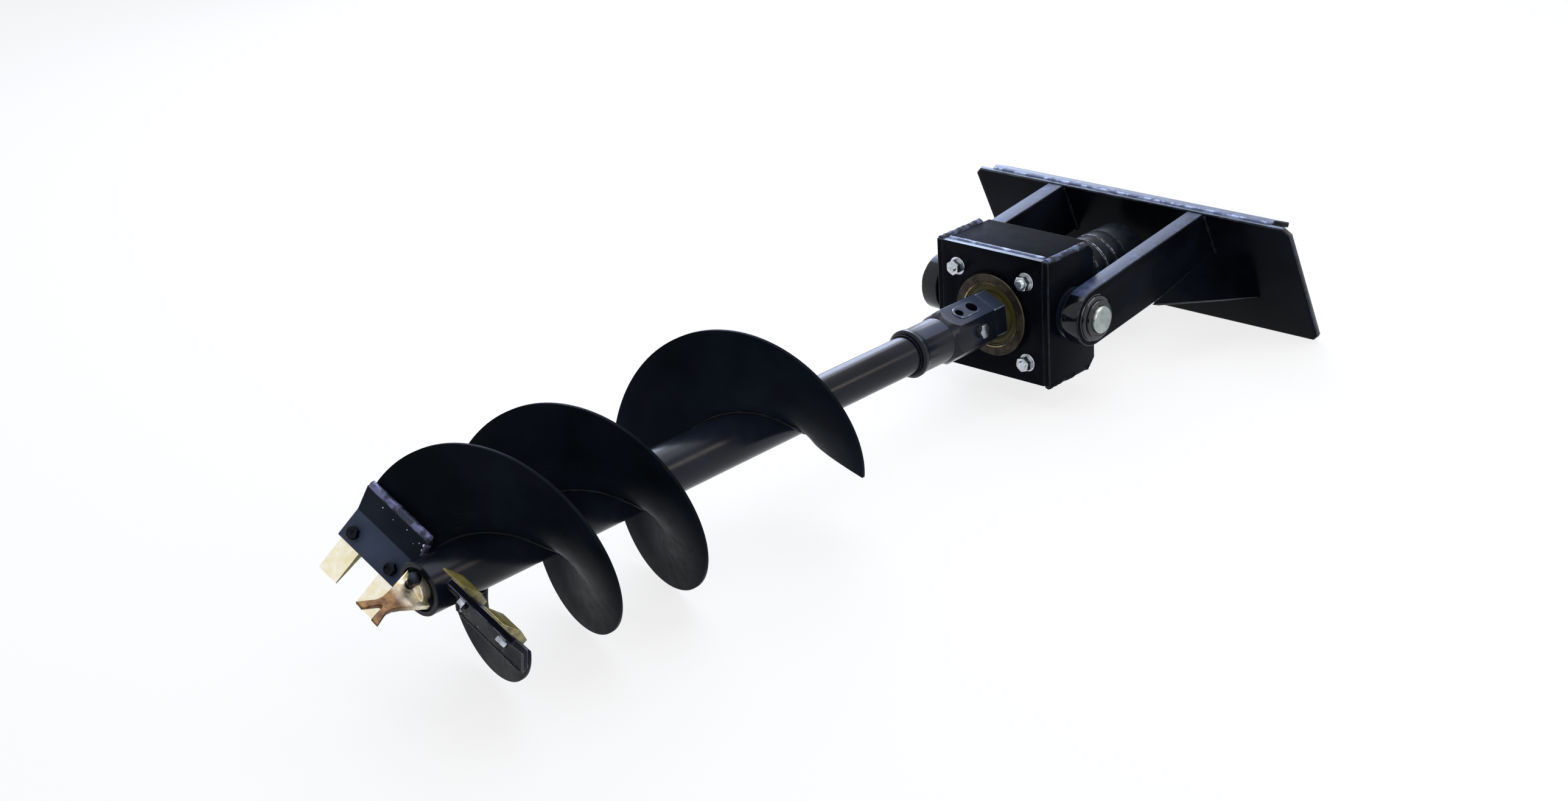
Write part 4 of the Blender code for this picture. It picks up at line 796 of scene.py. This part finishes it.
def buildHub():
    look = hubLook
    cornerDeg = look["flatDeg"] + 30
    step, end, neckRadius, neckEnd = look["step"], look["end"], look["neck"], look["neckEnd"]
    ring, ringEnd, bore = look["ring"], look["ringEnd"], 0.0294
    collar = hexPrism("hubCollar", look["flats"], step, end + 0.004, cornerDeg=cornerDeg)
    cut(collar, turned("hubConeTool", [(0, step - 0.01), (0.06, step - 0.01), (0.06, end - 0.03),
                                       (neckRadius + 0.0004, end + 0.004), (0, end + 0.004)]), "INTERSECT")
    paint(collar, hubEnamel, hubEdge)
    softEdges(collar, 0.0034, 3, 40, 0)
    rear = hexPrism("hubRear", look["rearFlats"], look["start"], step + 0.001, cornerDeg=cornerDeg)
    softEdges(paint(rear, hubEnamel, hubEdge), 0.0014, 2, 40)
    neck = turned("hubNeck", [
        (0, end - 0.02), (neckRadius, end - 0.02), (neckRadius, neckEnd - 0.003),
        (neckRadius + 0.0009, neckEnd - 0.0006), (ring - 0.0012, neckEnd + 0.0012), (ring, neckEnd + 0.004),
        (ring, ringEnd - 0.004), (ring - 0.004, ringEnd), (bore, ringEnd), (bore, ringEnd + 0.03),
        (0, ringEnd + 0.03)])
    cut(collar, rear, "UNION")
    cut(collar, paint(neck, hubEnamel, hubEdge), "UNION")
    flat = look["flats"] / 2
    boss = ovalBoss("hubBoss", look["bossWidth"], look["bossLength"], flat - 0.004, flat + look["bossProud"],
                    look["bossRim"])
    recolor(paint(boss, hubEnamel, hubEdge), 1, lambda face: 0.2 < face.normal.x < 0.95)
    cut(collar, place(boss, rotation(look["flatDeg"]) @ shift(0, 0, look["bossPlace"])), "UNION")
    cut(collar, hexPrism("hubBore", look["shaftFlats"], 0, 0.143, cornerDeg=cornerDeg))
    for along, radius in (look["smallHole"], look["largeHole"]):
        hole = turned("hubHole", [
            (0, 0.02), (radius, 0.02), (radius, 0.0478), (radius + 0.0016, 0.0495), (0, 0.0495)], 40)
        cut(collar, place(hole, sideways(look["flatDeg"], along)))
    shaft = rod("hubBoltHole", look["boltHole"], -0.06, 0.06, steps=32)
    cut(collar, place(shaft, sideways(look["flatDeg"] - 60, look["boltPlace"])))
    collar.name = collar.data.name = "outputHubForging"
    place(collar, drive)
    # the flat that faces up takes a painted sky reflection
    collar.data.materials.append(hubSkyReflection)
    upFlat = (drive @ rotation(look["flatDeg"])).col[0].xyz
    recolor(collar, 2, lambda face: face.normal.dot(upFlat) > 0.93)
    finish(smooth(collar), "output_hub")


def buildCrossBolt():
    look = hubLook
    start, thick, flats = look["flats"] / 2 + 0.0003, look["boltHead"], look["boltFlats"]
    head = chamferedHex("crossHead", flats, start + 0.0012, start + thick, bothEnds=False)
    flange = turned("crossFlange", [(0, start), (0.0118, start), (0.0118, start + 0.001), (0.0112, start + 0.0014),
                                    (0, start + 0.0014)], 40)
    nut = chamferedHex("crossNut", flats, -start - thick, -start, cornerDeg=10)
    shank = rod("crossShank", look["boltRadius"], -start - thick - 0.0012, start + 0.003, steps=32)
    bolt = joined("hubCrossBolt", [shank, head, flange, nut])
    place(bolt, drive @ sideways(look["flatDeg"] - 60, look["boltPlace"]))
    complete(bolt, "hub_cross_bolt", 28, dullZinc)


buildHub()
buildCrossBolt()
print("hub and cross bolt made")


# The cutting head: bars, teeth and their bolts

litBarBead = makeWornEnamel("paintedHighlightBarBead", "#34384d", "#6f7396", 0.44, 30, 2, 0.3)  # lavender on the upper bar's beads: a painted highlight, where the lower bar's stay dark
toothSideShade = makeMetal("paintedShadeZincCasting", "#514a22", "#8f8648", 0.3, 0.48, 5, 0.05, 0.45)  # a tooth's sides: the same zinc painted olive as shade
barEdge = makeWornEnamel("lavenderBarEdge", "#3e3b57", "#8984aa", 0.48, 30, 2, 0.3)
boltFlatHighlight = makeMetal("paintedHighlightBoltFlat", "#878e9d", "#d5dae3", 0.2, 0.34, 3, 0.02)  # painted highlight on the bolt flats that face up
toothEdge = makeMetal("rubbedZincEdge", "#ded3a4", "#fffbe8", 0.24, 0.4, 4, 0.04, 0.45)
spatterGlint = makeWornEnamel("spatterPaintedGlint", "#7d84a0", "#d5d9e6", 0.5, 6, 2)  # drops beside the bead: real spatter, painted bright as a glint
toothLook = {"innerPlace": 0.077, "outerPlace": 0.168, "thick": 0.013, "boltInset": 0.019, "boltRadius": 0.0065,
             "boltFlats": 0.019, "boltHead": 0.01}
# The drops of spatter: place along and across the bar, and size
beadLook = {"barRadius": 0.0066, "barWave": 0.0012, "barSteps": 120, "tubeRadius": 0.0048, "tubeSteps": 24, "drops": (
    (0.148, -0.0235, 0.0013), (0.1215, -0.0205, 0.0009), (0.0905, -0.0245, 0.0011), (0.07, -0.014, 0.0008),
    (0.06, -0.0222, 0.0012), (0.0478, -0.025, 0.0046), (0.0462, -0.0195, 0.0038), (0.0497, -0.0158, 0.0026))}


def seatMatrix(turnDeg, along):
    # On the bar's upper face at its tip: x along the bar, y down the slope, z off the face
    look = barLook
    slope = atan2(look["tip"][1] - look["bend"][1], look["tip"][0] - look["bend"][0])
    turn = Matrix(((-1, 0, 0), (0, cos(slope), sin(slope)), (0, sin(slope), -cos(slope)))).to_4x4()
    return drive @ rotation(turnDeg) @ shift(along, *offFace(look["tip"], slope, look["thick"])) @ turn


def toothBolt(name, seat, turnDeg, node, litFlats):
    look = toothLook
    under = -barLook["thick"] - barLook["gap"]
    low, centre = under - look["boltHead"], (0, -look["boltInset"])
    flange = turned("toothBoltFlange", [(0, under - 0.0014), (0.0098, under - 0.0014), (0.0104, under - 0.0008),
                                        (0.0104, under), (0, under)], 36)
    movedTo(flange, centre)
    head = chamferedHex("toothBoltHead", look["boltFlats"], low, under - 0.001, centre, turnDeg)
    dish = turned("toothBoltDish", [(0, under - 0.02), (0.0052, under - 0.02), (0.0052, low + 0.0003),
                                    (0.004, low + 0.0012), (0, low + 0.0012)], 32)
    softEdges(cut(head, movedTo(dish, centre)), 0.0004, 2, 20)
    thread = rod("toothBoltShank", look["boltRadius"], under - 0.002, 0.0003 + look["thick"] * 0.6, centre, 24)
    bolt = paint(place(joined(name, [head, flange, thread]), seat), darkBolt, boltEdge, boltFlatHighlight)
    # on the lower bar's bolts, side flats facing up take a painted highlight
    if litFlats:
        recolor(bolt, 2, lambda face: abs(face.normal.dot(seat.col[2].xyz)) < 0.2 and face.normal.z > 0.25)
    finish(smooth(bolt, 28), node)


def barBeads(label, turnDeg, seed, material):
    # One bead along the bar's back, and one where the bar stands on the tube
    look, bead, matrix, node = barLook, beadLook, drive @ rotation(turnDeg), "cutter_bar_" + label
    back, bend, tip = look["back"], look["bend"], look["tip"]
    points = []
    for i in range(bead["barSteps"] + 1):
        t = i / bead["barSteps"]
        wave = bead["barWave"] * noise(Vector((t * 14, seed, 0.7)))
        points.append((look["reach"] - 0.003 - t * (look["reach"] - look["start"] - 0.006), back[0] - 0.0012 + wave,
                       back[1] - 0.0062 + wave * 0.6))
    weldBead("barBead_" + label, points, bead["barRadius"], matrix, node, seed, material, 0.07, 0.1, 3)
    inner = look["start"] + 0.0002
    run = [(back[0] + 0.004, back[1] - 0.001), bend, (tip[0] - 0.01, tip[1] - 0.0085)]
    points = []
    for one, two in zip(run, run[1:]):
        for i in range(bead["tubeSteps"]):
            t = i / bead["tubeSteps"]
            y, z = one[0] + (two[0] - one[0]) * t, one[1] + (two[1] - one[1]) * t
            points.append((max(inner, (look["start"] ** 2 - min(y * y, 0.0018)) ** 0.5), y, z + 0.0008))
    weldBead("barTubeBead_" + label, points, bead["tubeRadius"], matrix, node, seed + 5, material, 0.1, 0.14, 3)


def barSpatter(label, turnDeg, seed):
    # A few drops beside the bead, and a lump where it ends at the tube
    back, bend = barLook["back"], barLook["bend"]
    drops = []
    for x, y, size in beadLook["drops"]:
        z = back[1] + (y - back[0]) * (bend[1] - back[1]) / (bend[0] - back[0])
        deselectAll()
        bpy.ops.mesh.primitive_ico_sphere_add(subdivisions=3, radius=size, location=(x, y, z - size * 0.45))
        drop = named("drop")
        for vertex in drop.data.vertices:
            vertex.co *= 1 + 0.3 * noise(vertex.co * (1.1 / size) + Vector((x * 90, y * 90, seed)))
        drops.append(drop)
    group = place(baked(joined("barSpatter_" + label, drops)), drive @ rotation(turnDeg))
    # the drops take a painted glint
    complete(group, "cutter_bar_" + label, 60, spatterGlint, standsFor=False)


def buildCutterBar(label, turnDeg, seed):
    # Bar two is the upper one as the auger lies: its faces look up, and its enamel, tip strip and beads are painted
    # paler as a highlight
    upper = label == "two"
    bar = dressed("cutter_bar_" + label, "cutterBar_" + label,
                  (litBarEnamel, wornEdge, barTipHighlight) if upper else (blackEnamel, barEdge, blackEnamel),
                  0.001 if upper else 0.0016)
    off = seatMatrix(turnDeg, 0).col[2].xyz
    # the tip strip's faces take the third material: on bar two a painted highlight
    finish(recolor(bar, 2, lambda face: abs(face.normal.dot(off)) > 0.97), "cutter_bar_" + label)
    # the upper bar's beads take a painted highlight, the lower bar's the plain dark bead
    barBeads(label, turnDeg, seed, litBarBead if upper else weldEnamel)
    barSpatter(label, turnDeg, seed)
    for position in ("inner", "outer"):
        node, along = label + "_" + position, toothLook[position + "Place"]
        tooth = dressed("cutter_tooth_" + node, "toothCasting_" + node, (toothLitZinc, toothEdge, toothSideShade), 0.0012, 3)
        seat = seatMatrix(turnDeg, along)
        # faces other than the top take the painted-shade copy
        finish(recolor(tooth, 2, lambda face: face.normal.dot(seat.col[2].xyz) > -0.6), "cutter_tooth_" + node)
        toothBolt("toothBolt_" + node, seat, seed * 17 + along * 300, "tooth_bolt_" + node, not upper)


buildCutterBar("one", barLook["turnDeg"], 3)
buildCutterBar("two", barLook["turnDeg"] + 180, 8)


# The pilot

pilotLook = {"turnDeg": -45, "boltPlace": 1.4025, "boltSide": -0.011, "half": 0.0213, "flats": 0.019, "head": 0.009,
             "shank": 0.006, "meshSize": 0.0011}


def buildPilot():
    # Forged soft: wrapped in an even mesh, and its corners smoothed away
    look = pilotLook
    blade = dressed("fishtail_pilot", "fishtailPilot", (pilotLitShadedZinc,), 0.001, sharpDeg=28)
    modify(blade, "REMESH", mode="VOXEL", voxel_size=look["meshSize"])
    modify(blade, "SMOOTH", factor=0.5, iterations=9)
    finish(smooth(blade, 180), "fishtail_pilot")
    half, deep = look["half"], look["half"] + look["head"]
    shank = rod("pilotShank", look["shank"], -deep + 0.001, deep - 0.001, steps=28)
    head = chamferedHex("pilotHead", look["flats"], half, deep, cornerDeg=12)
    nut = chamferedHex("pilotNut", look["flats"], -deep, -half, cornerDeg=40)
    bolt = joined("pilotBolt", [shank, head, nut])
    place(bolt, drive @ rotation(look["turnDeg"]) @ shift(look["boltSide"], 0, look["boltPlace"]) @ rotation(-90, "X"))
    complete(bolt, "pilot_bolt", 28, darkBolt)


buildPilot()
print("cutting head made")


# The drive's housing

# The top plate's thin dull coat stays black under the sky
topEnamel = makeEnamel("dulledTopEnamel", enamelLook["deep"], enamelLook["worn"], 0.3, 0.46, 1.04)
boxEdge = makeWornEnamel("thinEnamelEdge", "#0c1017", "#20262f", 0.34, 24, 4, 0.1)
topSeamHighlight = makeWornEnamel("paintedHighlightSeamBead", "#1d2434", "#535d77", 0.38, 24, 2, 0.3)  # blue-grey and uneven: a painted highlight on the housing's top seams
oiledEdge = makeMetal("rubbedTurnedEdge", "#7a6c55", "#d6c79c", 0.2, 0.34, 3, 0.01)  # a bright ring round the seal
boxLook = {"inner": 0.1153, "low": -0.1203, "high": 0.1247, "seamRadius": 0.0074, "frontRadius": 0.0056,
           "seamFront": -0.003, "seamBack": -0.1235, "seamSide": 0.007}


def buildBox():
    across = {"front": drive.col[2].xyz, "top": drive.col[1].xyz, "side": drive.col[0].xyz}
    for node, name, way, width in (
            ("box_front_plate", "housingFrontPlate", "front", 0.0014),
            ("box_top_plate", "housingTopPlate", "top", 0.001),
            ("box_bottom_plate", "housingBottomPlate", "top", 0.001),
            ("box_side_plate_left", "housingSideLeft", "side", 0.0014),
            ("box_side_plate_right", "housingSideRight", "side", 0.0014)):
        rest = blackEnamel if way == "side" else cutEdge
        face = topEnamel if node == "box_top_plate" else blackEnamel
        # the housing's cut edges that face up take a painted highlight
        finish(dressed(node, name, (face, boxEdge, upCutEdgeHighlight, rest), width, across=across[way]), node)
    look = boxLook
    inner, high, front, back = look["inner"], look["high"], look["seamFront"], look["seamBack"]
    for side, sign in (("Left", -1), ("Right", 1)):
        x = sign * (inner + look["seamSide"])
        # the top seams take a painted highlight; the low seams keep the dark bead
        for label, y, seed, bead in (
                ("Top", high - 0.003, 21, {"material": topSeamHighlight, "ripple": 0.1, "lump": 0.14}),
                ("Low", look["low"] + 0.003, 25, {})):
            straightWeld("housingSeam" + label + side, (x, y, front), (x, y, back), look["seamRadius"], drive,
                         "box_top_plate", seed + sign, **bead)
    y, z = high - 0.0022, -0.0172
    # the front seam faces up and takes a painted highlight
    straightWeld("housingSeamFront", (-inner + 0.004, y, z), (inner - 0.004, y, z), look["frontRadius"], drive,
                 "box_top_plate", 28, material=upWeldHighlight, ripple=0.05, lump=0.06)


noseLook = {"faceRadius": 0.083, "faceStart": -0.0009, "faceEnd": 0.03, "grooveStart": 0.0634, "grooveEnd": 0.0772,
            "grooves": 14, "top": 0.01}


def buildNose():
    # The bearing housing's nose is turned afresh: fine tool marks on its face, and a bright edge round the seal
    look = noseLook
    body = dressed("bearing_housing", "bearingHousing", (oiledSteel, oiledEdge), 0.0008)
    cut(body, place(rod("noseFace", look["faceRadius"], look["faceStart"], look["faceEnd"], steps=96), drive))
    start, end, count, top = look["grooveStart"], look["grooveEnd"], look["grooves"], look["top"]
    profile = [(0.0606, -0.004), (0.08, -0.004), (0.08, 0.0076), (0.0788, 0.0094), (0.078, top)]
    for i in range(count):
        r = end - (end - start) * i / count
        profile += [(r, top), (r - 0.0005, 0.00982)]
    profile += [(0.0628, top), (0.0614, 0.0092), (0.0606, 0.0082)]
    nose = paint(turned("bearingNose", profile, 160), oiledSteel, oiledEdge)
    recolor(nose, 1, lambda face: face.normal.z > 0.2 and hypot(face.center.x, face.center.y) < 0.0632)
    place(smooth(nose, 20), drive)
    finish(joined("bearingHousingTurned", [body, nose]), "bearing_housing")


def buildSeal():
    outer, inner, top, back = 0.0602, 0.0336, 0.0072, -0.001
    profile = [(outer, back), (outer, top - 0.0008), (outer - 0.0008, top), (outer - 0.003, top),
               (outer - 0.0042, top - 0.002), (outer - 0.0062, top - 0.0026), (outer - 0.009, top - 0.0016),
               (0.0462, top - 0.0034), (0.044, top - 0.0046), (0.0392, top - 0.0034), (inner + 0.003, top - 0.001),
               (inner + 0.0008, top - 0.0016), (inner, top - 0.0032), (inner, back)]
    complete(place(turned("outputLipSeal", profile, 128), drive), "output_seal", 40, sealRubber)


buildBox()
buildNose()
buildSeal()
print("drive housing made")


# Gear case and motor

# Brushed satin black on the motor: long soft streaks round it
motorEnamel = makeMetal("brushedSatinBlack", "#090b0f", "#171b22", 0.3, 0.46, 1.5, 0.04, 0.0, (1, 0.05, 1), IOR=1.18)
motorEdge = makeWornEnamel("rubbedMotorEdge", "#12151b", "#767c86", 0.4, 8)


def capScrews(name, node, count, circleRadius, seat, height, firstDeg, radius=0.0062):
    # Socket head cap screws in a ring, heads towards the back
    screws = []
    low, depth = seat - height, seat - height * 0.45
    for i in range(count):
        a = radians(firstDeg + 360 * i / count)
        outline = [(radius, seat), (radius, low + 0.0008), (radius - 0.0008, low), (radius * 0.5, low),
                   (radius * 0.5, depth), (0, depth), (0, seat)]
        screws.append(movedTo(turned(name, outline, 28), (circleRadius * cos(a), circleRadius * sin(a))))
    complete(place(joined(name + "s", screws), drive), node, 30, darkBolt, standsFor=False)


def buildMotor():
    for node, name, materials, width, sharpDeg in (
            ("ring_gear_case", "gearCase", (satinEnamel, wornEdge), 0.0012, 35),
            ("gear_case_cover", "gearCaseCover", (satinEnamel, wornEdge), 0.0016, 35),
            ("motor_body", "motorHousing", (motorEnamel, motorEdge), 0.001, 30),
            ("motor_end_cap", "motorEndCover", (motorEnamel, motorEdge), 0.001, 30),
            ("motor_port_left", "hosePortLeft", (zincPlate, zincPlate), 0.0006, 30),
            ("motor_port_right", "hosePortRight", (zincPlate, zincPlate), 0.0006, 30)):
        finish(dressed(node, name, materials, width, sharpDeg=sharpDeg), node)
    capScrews("motorCoverScrew", "motor_end_cap", 7, 0.045, -0.4166, 0.007, 12)
    capScrews("motorFlangeScrew", "motor_body", 4, 0.0645, -0.1546, 0.008, 45)


buildMotor()
print("motor made")


# Pins and their rings

ringEnamel = makeEnamel("wetBlackEnamel", "#05070b", "#10141d", 0.1, 0.2)  # thick and mirror black
collarEnamel = makeEnamel("collarEnamel", "#121722", "#262e3e", 0.22, 0.36, level=0.4)
pinLook = {"radius": 0.0262, "flange": 0.048, "flangeStart": 0.1299, "flangeEnd": 0.1466, "groove": 0.007,
           "end": 0.2035, "bossBore": 0.0312, "boss": (0.043, 0.1837, 0.1917), "keeper": (0.036, 0.192, 0.1975)}


def buildPin(side, sign):
    look, low = pinLook, side.lower()
    outward = rotation(90 * sign, "Y")
    r, end = look["radius"], look["end"]
    big, start, stop, groove = look["flange"], look["flangeStart"], look["flangeEnd"], look["groove"]
    pin = turned("pin", [
        (0, end), (r - 0.0042, end), (r - 0.004, end - 0.0003), (r - 0.0032, end - 0.0003), (r - 0.003, end),
        (r - 0.0022, end), (r - 0.0004, end - 0.0014), (r, end - 0.0026), (r, stop - 0.004), (0, stop - 0.004)])
    middle, deep = (start + stop) / 2, big - groove * 0.9
    collar = turned("pinCollar", [
        (0, stop), (big - 0.0012, stop), (big, stop - 0.0012), (big, middle + groove / 2), (deep, middle + 0.0004),
        (deep, middle - 0.0004), (big, middle - groove / 2), (big, start + 0.001), (big - 0.001, start),
        (0, start)], 128)
    recolor(collar, 1, lambda face: True)
    pieces = [paint(piece, pinSteel, collarEnamel) for piece in (pin, collar)]
    finish(smooth(place(joined("pivotPin" + side, pieces), pinFrame @ outward), 32), "pivot_pin_" + low)
    (boss, start, stop), inner = look["boss"], look["bossBore"]
    ring = turned("armBossRing" + side, [
        (boss - 0.003, stop), (boss - 0.001, stop - 0.0008), (boss, stop - 0.0028), (boss, start + 0.0016),
        (boss + 0.0016, start), (inner, start), (inner, stop - 0.0008), (inner + 0.0008, stop)], 128)
    complete(place(ring, mount @ outward), "arm_boss_" + low, 40, ringEnamel)
    keeper, start, stop = look["keeper"]
    ring = turned("pinKeeperRing" + side, [
        (keeper - 0.0016, stop), (keeper - 0.0004, stop - 0.0006), (keeper, stop - 0.0018), (keeper, start),
        (r + 0.0004, start), (r + 0.0004, stop - 0.0006), (r + 0.001, stop), (r + 0.0042, stop),
        (r + 0.0046, stop - 0.0006), (r + 0.0052, stop - 0.0006), (r + 0.0056, stop)], 128)
    complete(place(ring, pinFrame @ outward), "pin_keeper_" + low, 40, ringEnamel)


buildPin("Left", -1)
buildPin("Right", 1)
print("pins, bosses and keepers made")


# The mount frame

armTopHighlight = makeCutEdge("paintedHighlightArmTop", "#1f2639", "#37415b", "#616c8b", 0.15)  # the arms' tops painted blue-grey: a painted highlight from the sky
noseEnamel = makeEnamel("wetNoseEnamel", "#05070b", "#0f131b", 0.08, 0.16, 1.38)  # thick paint round the arms' ends
mountLook = {"armInner": 0.1476, "armOuter": 0.1834, "armDepth": 0.054, "plateLeanDeg": 17.85, "weld": 0.004,
             "gussetTop": -0.093, "gussetLow": -0.196, "gussetSpread": 0.2596, "gussetWeld": 0.0034,
             "hookHalf": 0.329}


def buildMount():
    look = mountLook
    aside, through = Vector((1, 0, 0)), plate.col[1].xyz
    for node, name, across, width in (
            ("mount_plate", "couplerPlate", through, 0.0012), ("coupler_hook", "couplerHook", aside, 0.0014),
            ("coupler_foot", "couplerFoot", None, 0.001), ("arm_left", "armLeft", aside, 0.0016),
            ("arm_right", "armRight", aside, 0.0016), ("gusset_left", "gussetLeft", None, 0.0008),
            ("gusset_right", "gussetRight", None, 0.0008)):
        # top: the painted highlight on cut edges that face up
        top, rest = (armTopHighlight, noseEnamel) if node.startswith("arm_") else (upCutEdgeHighlight, cutEdge)
        finish(dressed(node, name, (blackEnamel, wornEdge, top, rest), width, across=across), node)
    half, radius = look["hookHalf"], look["weld"]
    # the hook's seam faces up and takes a painted highlight
    straightWeld("hookSeam", (-half, 0.0098, -0.0014), (half, 0.0098, -0.0014), radius, plate, "coupler_hook", 51,
                 material=upWeldHighlight)
    armFoot = -2 * look["armDepth"] / cos(radians(look["plateLeanDeg"]))
    for side, sign in (("Left", -1), ("Right", 1)):
        inner, outer = sign * look["armInner"], sign * look["armOuter"]
        for label, x in (("Inner", inner - sign * 0.0014), ("Outer", outer + sign * 0.0014)):
            straightWeld("armSeam" + label + side, (x, -0.0016, -0.004), (x, -0.0016, armFoot + 0.003), radius,
                         plate, "mount_plate", 31 + sign)
        straightWeld("armSeamLow" + side, (inner + sign * 0.001, -0.002, armFoot - 0.0016),
                     (outer - sign * 0.001, -0.002, armFoot - 0.0016), radius, plate, "mount_plate", 35 + sign)
        start = plate @ Vector((outer + sign * 0.003, -0.002, look["gussetTop"] - 0.012))
        end = plate @ Vector((sign * (look["gussetSpread"] - 0.001), -0.002, look["gussetLow"] - 0.004))
        straightWeld("gussetPlateSeam" + side, start, end, look["gussetWeld"], Matrix(), "mount_plate", 41 + sign)


buildMount()
print("mount frame made")
